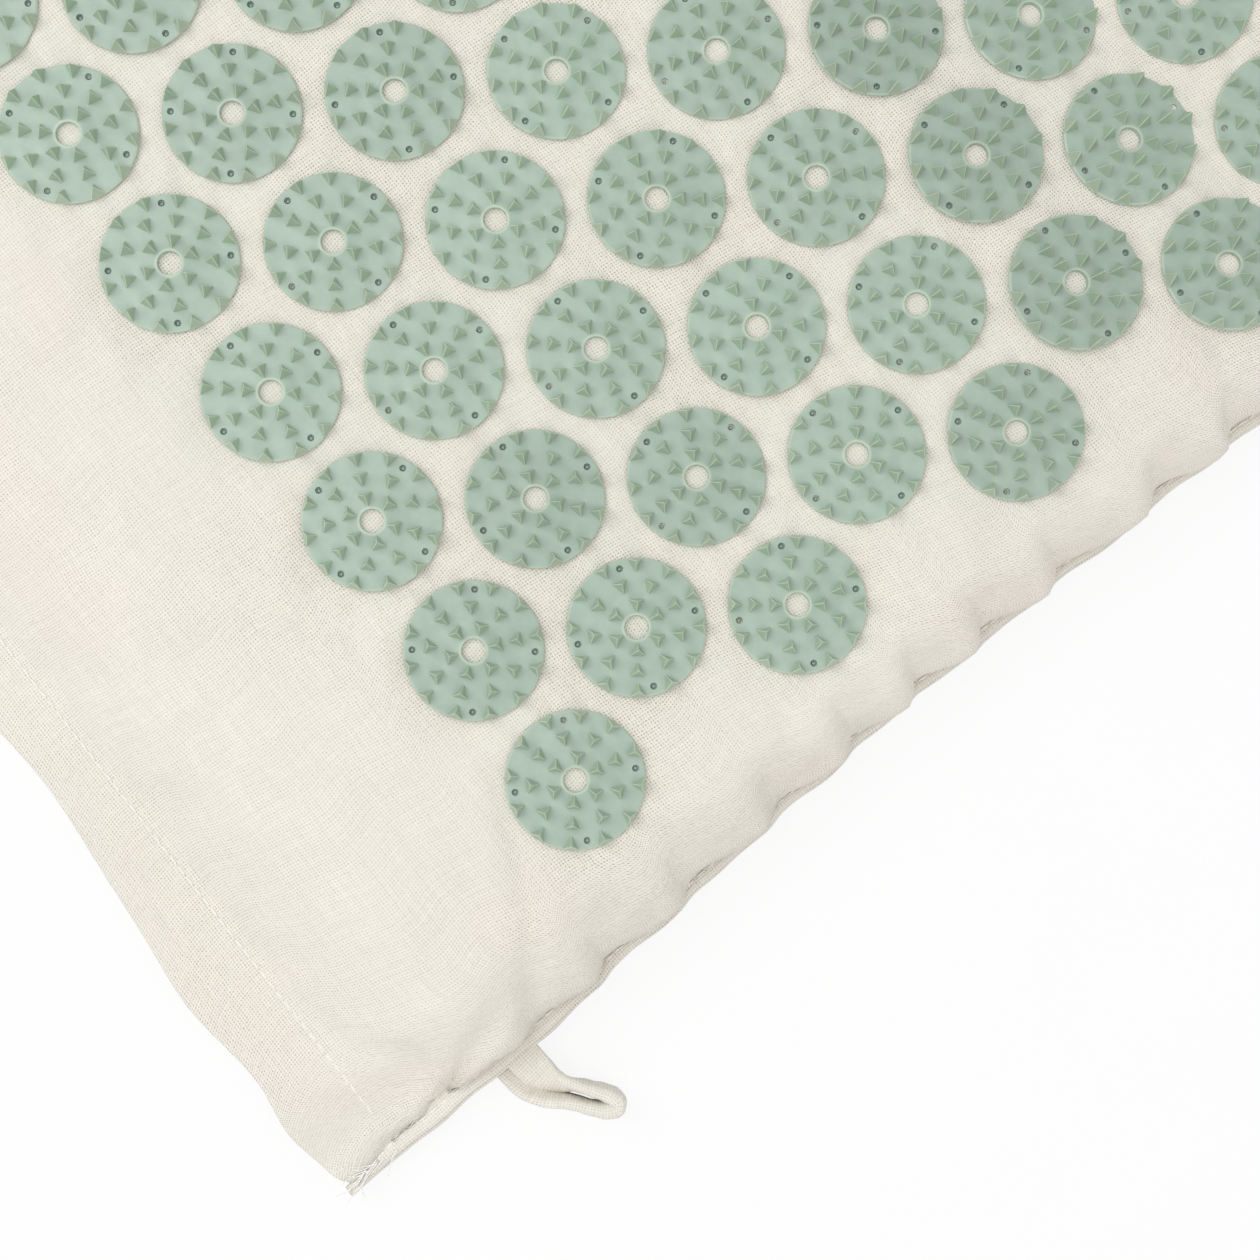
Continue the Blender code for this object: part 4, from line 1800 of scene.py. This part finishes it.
@dataclass
class Welts:
    """The folded seam edge on three sides, with its topstitching."""

    plan: MatPlan
    shape: CoverShape
    stitch_spacing: float = 0.0027
    stitch_out: float = 0.0006
    stitch_up: float = 0.00075
    step: float = 0.0009
    # Two folded layers, the lower one standing a little further out: for each point its outward
    # distance, its height, and how much of the stitches' dip it takes.
    outline: tuple[tuple[float, float, float], ...] = (
        (-0.0012, 0.00055, 0), (-0.0002, 0.00078, 1), (0.0004, 0.00070, 3),
        (0.0009, 0.00084, 0.5), (0.0015, 0.00086, 0), (0.0021, 0.00070, 0),
        (0.00238, 0.00042, 0), (0.00236, 0.00018, 0), (0.0021, 0.00005, 0),
        (0.0026, -0.00006, 0), (0.00285, -0.00030, 0), (0.00270, -0.00062, 0),
        (0.0022, -0.00080, 0), (0.0008, -0.00086, 0), (-0.0012, -0.00060, 0))

    def build_one(self, name: str, seam: Callable[[np.ndarray], np.ndarray], outward: np.ndarray,
                  places: np.ndarray, sewn: np.ndarray, seed: int, cotton: Material,
                  stitches: Stitches) -> None:
        """Sweeps a welt along its seam, and sews it.

        Args:
            name: What the pieces' names start with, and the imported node's name.
            seam: Gives the seam's points at places.
            outward: The level direction out of the mat.
            places: Places along the seam.
            sewn: Those that the stitches' line passes through.
            seed: For the stitches' uneven lengths.
            cotton: Its material.
            stitches: What lays the stitches.
        """
        reach = 1 + 0.06 * np.sin(places / 0.0059) + 0.05 * np.sin(places / 0.0023 + 1.1)
        reach = reach * (0.35 + 0.65 * ease((places - places[0]) / 0.014))
        reach = reach * (1 + 0.28 * (1 - ease((places - places[0] - 0.045) / 0.04)))
        beat = np.abs(np.sin(math.pi * places / self.stitch_spacing))
        dip = 0.00007 * (1 - beat) ** 1.5
        out, up, pull = np.array(self.outline).T
        out = np.where(out > 0, out[None, :] * reach[:, None], out[None, :])
        up = up[None, :] - pull[None, :] * dip[:, None]
        rings = seam(places)[:, None, :] + out[..., None] * outward + up[..., None] * UP
        settle(link(f"{name}_strip", swept_mesh(f"{name}_strip", rings), cotton), Body.MAT,
               "cover_cloth", name)
        line = seam(sewn) + outward * self.stitch_out + UP * self.stitch_up
        settle(stitches.lay(f"{name}_stitches", line, self.stitch_spacing, seed), Body.MAT,
               "cover_cloth")

    def side_seam(self, side: Side) -> Callable[[np.ndarray], np.ndarray]:
        """A long side's seam line.

        Args:
            side: Which long side.

        Returns:
            What gives its points at places.
        """
        def line(x: np.ndarray) -> np.ndarray:
            """Its points at places along the mat."""
            y = side.value * (self.plan.seam_y + self.shape.lean(x, side.value))
            return np.stack([x, y, self.shape.seam_z(x, side.value * self.plan.seam_y)], -1)
        return line

    def end_seam(self, y: np.ndarray) -> np.ndarray:
        """The closed end's seam line."""
        x = self.plan.seam_x + self.shape.end_lean(y)
        return np.stack([x, y, self.shape.seam_z(np.full_like(y, self.plan.seam_x), y)], -1)

    def build(self, cotton: Material, stitches: Stitches) -> None:
        """Builds the three welts and their stitches.

        Args:
            cotton: Their material.
            stitches: What lays the stitches.
        """
        plan = self.plan
        for side in Side:
            self.build_one(f"{side.name.lower()}_welt", self.side_seam(side),
                           np.array([0, side.value, 0.0]),
                           steps(plan.open_x + 0.0004, plan.length / 2, self.step),
                           steps(plan.open_x + 0.002, plan.seam_x, self.stitch_spacing),
                           10 + side.value, cotton, stitches)
        self.build_one("end_welt", self.end_seam, np.array([1.0, 0, 0]),
                       steps(-plan.seam_y - 0.0002, plan.seam_y + 0.0002, self.step),
                       steps(-plan.seam_y + 0.002, plan.seam_y - 0.002, self.stitch_spacing), 20,
                       cotton, stitches)


@dataclass
class Lip:
    """The lip's stitches and the two tapes that close it."""

    plan: MatPlan
    shape: CoverShape
    stitch_spacing: float = 0.0026
    stitch_lift: float = 0.00014
    # The tapes' outline, as shares of half their width and of their thickness.
    outline: tuple[tuple[float, float], ...] = (
        (-1.0, 0.25), (-0.98, 0.0), (-0.8, 0.05), (0.8, 0.05), (0.98, 0.0), (1.0, 0.25),
        (1.0, 0.7), (0.97, 0.95), (0.84, 1.0), (0.78, 0.86), (-0.78, 0.86), (-0.84, 1.0),
        (-0.97, 0.95), (-1.0, 0.7))

    def hem_line(self) -> np.ndarray:
        """The line of stitches across the lip's upper face, sunk towards the corners.

        Returns:
            The line's points.
        """
        end = self.plan.lip_half_width - 0.002
        ys = steps(-end, end, 0.002)
        sunk = 0.00024 * (1 - ease((end - np.abs(ys) - 0.006) / 0.040))
        height = self.plan.lip_top + self.stitch_lift - sunk
        return np.stack([np.full_like(ys, self.plan.lip_x), ys, height], -1)

    def tape(self, low: Vector, high: Vector) -> np.ndarray:
        """Rings of a closure tape with thicker woven edges, which follows the drawn-in edge.

        Args:
            low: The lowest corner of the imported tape's box.
            high: Its highest corner.

        Returns:
            The rings.
        """
        half, middle = (high.x - low.x) / 2, (high.x + low.x) / 2
        ys = steps(low.y, high.y, 0.004)
        drawn_in = np.clip(self.shape.edge_shift(ys), 0, 0.003)
        return np.array([[(middle + half * out + shift, y, low.z + (high.z - low.z) * up)
                          for out, up in self.outline] for y, shift in zip(ys, drawn_in)])

    def build(self, tape: Material, stitches: Stitches) -> None:
        """Builds the hem's stitches and the tapes.

        Args:
            tape: The tapes' material.
            stitches: What lays the stitches.
        """
        hem = stitches.lay("lip_hem_stitches", self.hem_line(), self.stitch_spacing, 3)
        self.plan.blend_lip(declare(hem, "cover_cloth"))
        for name, node, body in (("hook_strip", "hook_tape", Body.LIP),
                                 ("loop_strip", "loop_tape", Body.MAT)):
            mesh = swept_mesh(name, self.tape(*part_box(node)))
            settle(link(name, mesh, tape), body, "closure_tape", node)


def through(stations: np.ndarray, count: int) -> np.ndarray:
    """Points on a smooth curve through stations.

    Args:
        stations: One row of numbers for each station.
        count: How many points lie between two stations.

    Returns:
        One row of numbers for each point.
    """
    padded = np.concatenate([2 * stations[:1] - stations[1:2], stations,
                             2 * stations[-1:] - stations[-2:-1]])
    share = np.linspace(0, 1, count, endpoint=False)[:, None]
    rows = []
    for before, start, end, after in zip(padded, padded[1:], padded[2:], padded[3:]):
        bend = 2 * before - 5 * start + 4 * end - after
        turn = 3 * start - before - 3 * end + after
        rows.append(0.5 * (2 * start + (end - before) * share + bend * share ** 2
                           + turn * share ** 3))
    return np.concatenate([*rows, stations[-1:]])


@dataclass
class HangingLoop:
    """The folded tape that hangs the mat up: flat where the seam holds it, on edge at its tip."""

    # Along the tape: the x, y and z of its middle, half its thickness and its roll in degrees.
    stations: tuple[tuple[float, ...], ...] = (
        (-0.2966, -0.2077, 0.0046, 0.00045, 90), (-0.2966, -0.2095, 0.0047, 0.00060, 88),
        (-0.2963, -0.2125, 0.0048, 0.00085, 80), (-0.2957, -0.2159, 0.0047, 0.00115, 62),
        (-0.2941, -0.2186, 0.0046, 0.00145, 30), (-0.2916, -0.2211, 0.0044, 0.00140, 6),
        (-0.2896, -0.2238, 0.0043, 0.00150, 0), (-0.2881, -0.2260, 0.0042, 0.00172, 0),
        (-0.2874, -0.2282, 0.0042, 0.00188, 0), (-0.2885, -0.2293, 0.0042, 0.00188, 0),
        (-0.2904, -0.2283, 0.0042, 0.00170, 0), (-0.2925, -0.2259, 0.0042, 0.00148, 0),
        (-0.2948, -0.2227, 0.0041, 0.00142, 3), (-0.2981, -0.2190, 0.0038, 0.00134, 14),
        (-0.2996, -0.2153, 0.0032, 0.00112, 38), (-0.2996, -0.2117, 0.0029, 0.00085, 66),
        (-0.2994, -0.2086, 0.0031, 0.00050, 86))
    width: float = 0.0074
    corners: int = 20

    def rings(self) -> np.ndarray:
        """Rounded sections of the tape, out along one leg, round the tip and back.

        Returns:
            The rings of points.
        """
        path = through(np.array(self.stations), 7)
        side, upward = cross_axes(path[:, :3])
        roll = np.radians(path[:, 4])[:, None]
        thick = side * np.cos(roll) + upward * np.sin(roll)
        wide = upward * np.cos(roll) - side * np.sin(roll)
        turns = circle(self.corners, math.pi)
        out, along = np.cos(turns), np.sin(turns)
        out = np.sign(out) * np.abs(out) ** 0.62
        along = np.sign(along) * np.abs(along) ** 0.8
        hem = 1 - 0.03 * np.exp(-((np.abs(along) - 0.62) / 0.08) ** 2)
        places = np.arange(len(path))[:, None]
        pucker = 1 + 0.035 * np.sin(places * 0.9 + 3 * along[None, :])
        half = path[:, 3:4] * (out * hem)[None, :] * pucker
        return (path[:, None, :3] + half[..., None] * thick[:, None, :]
                + (along * self.width / 2)[None, :, None] * wide[:, None, :])

    def build(self, cotton: Material) -> None:
        """Builds the loop, whose fixed shape bends where the seam lets go of it.

        Args:
            cotton: Its material.
        """
        mesh = swept_mesh("hanging_loop_tape", self.rings())
        piece = declare(link("hanging_loop_tape", mesh, cotton), "loop_tape", "hanging_loop")
        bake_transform(piece)


@dataclass
class LooseThreads:
    """Frayed ends of thread where the near seam meets the open edge."""

    thread: Material
    place: Point = (-0.3322, -0.2083, 0.0054)
    count: int = 18
    points: int = 18
    radius: float = 0.00013
    spread: Point = (0.0019, 0.0004, 0.0001)
    lengths: tuple[float, float] = (0.0040, 0.0075)

    def strand(self, chance: np.random.Generator, heading: float) -> np.ndarray:
        """Rings of points round one curling strand.

        Args:
            chance: The source of its curls.
            heading: Its first direction in the mat's plane.

        Returns:
            The rings.
        """
        start = np.array(self.place) + chance.normal(0, 1, 3) * self.spread
        length = chance.uniform(*self.lengths)
        points, bend = [start], chance.normal(0, 0.02)
        for index in range(self.points - 1):
            bend += chance.normal(0, 0.016)
            heading += bend
            drop = -0.10 * index / self.points if points[-1][2] > 0.0012 else 0.0
            step = np.array([math.cos(heading), math.sin(heading), drop])
            points.append(points[-1] + step * length / self.points)
        path = np.array(points)
        side, upward = cross_axes(path)
        girth = self.radius * np.linspace(1.0, 0.55, self.points)[:, None, None]
        turns = circle(6)[None, :, None]
        return path[:, None] + girth * (np.cos(turns) * side[:, None]
                                        + np.sin(turns) * upward[:, None])

    def build(self) -> None:
        """Builds the strands as one piece."""
        chance, strands = np.random.default_rng(5), []
        for index in range(self.count):
            span = (186, 203) if index % 6 else (140, 170)
            heading = math.radians(chance.uniform(*span))
            strands.append(swept_mesh("strand", self.strand(chance, heading)))
        mesh = joined_mesh("corner_thread_ends", strands)
        settle(link("corner_thread_ends", mesh, self.thread), Body.MAT, "cover_cloth")


@dataclass
class Studio:
    """The floor, the lights and the camera."""

    camera_place: Point = (-0.25405, -0.15725, 0.42181)
    camera_turn: Point = (2.313, -2.791, -38.199)
    lens: float = 59.68
    floor_half: float = 6.0
    floor_drop: float = 0.0003
    surround: tuple[float, float] = (0.60, 0.40)

    def floor(self) -> None:
        """A wide pale floor just under the mat."""
        corners = [(x * self.floor_half, y * self.floor_half, -self.floor_drop)
                   for x, y in ((-1, -1), (1, -1), (1, 1), (-1, 1))]
        mesh = mesh_of("floor", corners, [(0, 1, 2, 3)])
        link("floor", mesh, PaleFloor("pale floor").material())

    def lamp(self, name: str, place: Point, target: Point, size: float, power: float,
             colour: Colour = (1.0, 1.0, 1.0)) -> None:
        """A square soft light.

        Args:
            name: Its name.
            place: Where it stands.
            target: What it looks at.
            size: The square's side.
            power: Its power in watts.
            colour: Its light's colour.
        """
        data = bpy.data.lights.new(name, "AREA")
        data.shape, data.size, data.energy, data.color = "SQUARE", size, power, colour
        item = link(name, data)
        item.location = place
        item.rotation_euler = (Vector(target) - Vector(place)).to_track_quat("-Z", "Y").to_euler()

    def world(self) -> None:
        """An even pale surround, seen as white."""
        world = bpy.data.worlds.new("surround")
        world.use_nodes = True
        net = Net(world.node_tree)
        net.tree.nodes.clear()
        dim, seen = self.surround
        strength = net.add("ShaderNodeLightPath", {}, "Is Camera Ray") * seen + dim
        glow = net.add("ShaderNodeBackground", {"Color": WHITE, "Strength": strength})
        net.add("ShaderNodeOutputWorld", {"Surface": glow})
        bpy.context.scene.world = world

    def camera(self) -> None:
        """The photograph's viewpoint, close above one corner."""
        data = bpy.data.cameras.new("camera")
        data.lens, data.sensor_width, data.clip_start = self.lens, 36.0, 0.01
        item = link("camera", data)
        item.location = self.camera_place
        item.rotation_euler = [math.radians(turn) for turn in self.camera_turn]
        bpy.context.scene.camera = item

    def build(self) -> None:
        """Builds the studio."""
        bpy.context.scene.view_settings.view_transform = "Standard"
        self.floor()
        self.world()
        self.lamp("key", (-0.56, 0.48, 1.05), (-0.12, -0.05, 0.0), 1.10, 7.9)
        self.lamp("fill", (-0.35, -1.10, 1.10), (-0.1, -0.1, 0.0), 1.7, 6.5,
                  (1.0, 0.955, 0.91))
        self.camera()


def main() -> None:
    """Builds the mat and its studio."""
    logging.basicConfig(level=logging.INFO, format="%(name)s %(message)s")
    plan = MatPlan()
    shape = CoverShape(plan)
    cotton = WovenCotton("undyed cotton", roughness=0.9, sheen=0.1).material()
    plastic = MouldedPlastic("moulded plastic", roughness=0.40).material()
    thread = SewingThread("sewing thread", roughness=0.8).material()
    tape = BrushedTape("closure tape", roughness=0.85).material()
    foam = CellFoam("cell foam", roughness=0.95).material()
    Studio().build()
    stitches = Stitches(thread)
    cover = Cover(plan, shape).build(cotton)
    FoamCore(plan, shape).build(foam)
    SpikedDiscs(plan).build(cover, plastic)
    Welts(plan, shape).build(cotton, stitches)
    Lip(plan, shape).build(tape, stitches)
    HangingLoop().build(cotton)
    LooseThreads(thread).build()


if __name__ == "__main__":
    main()
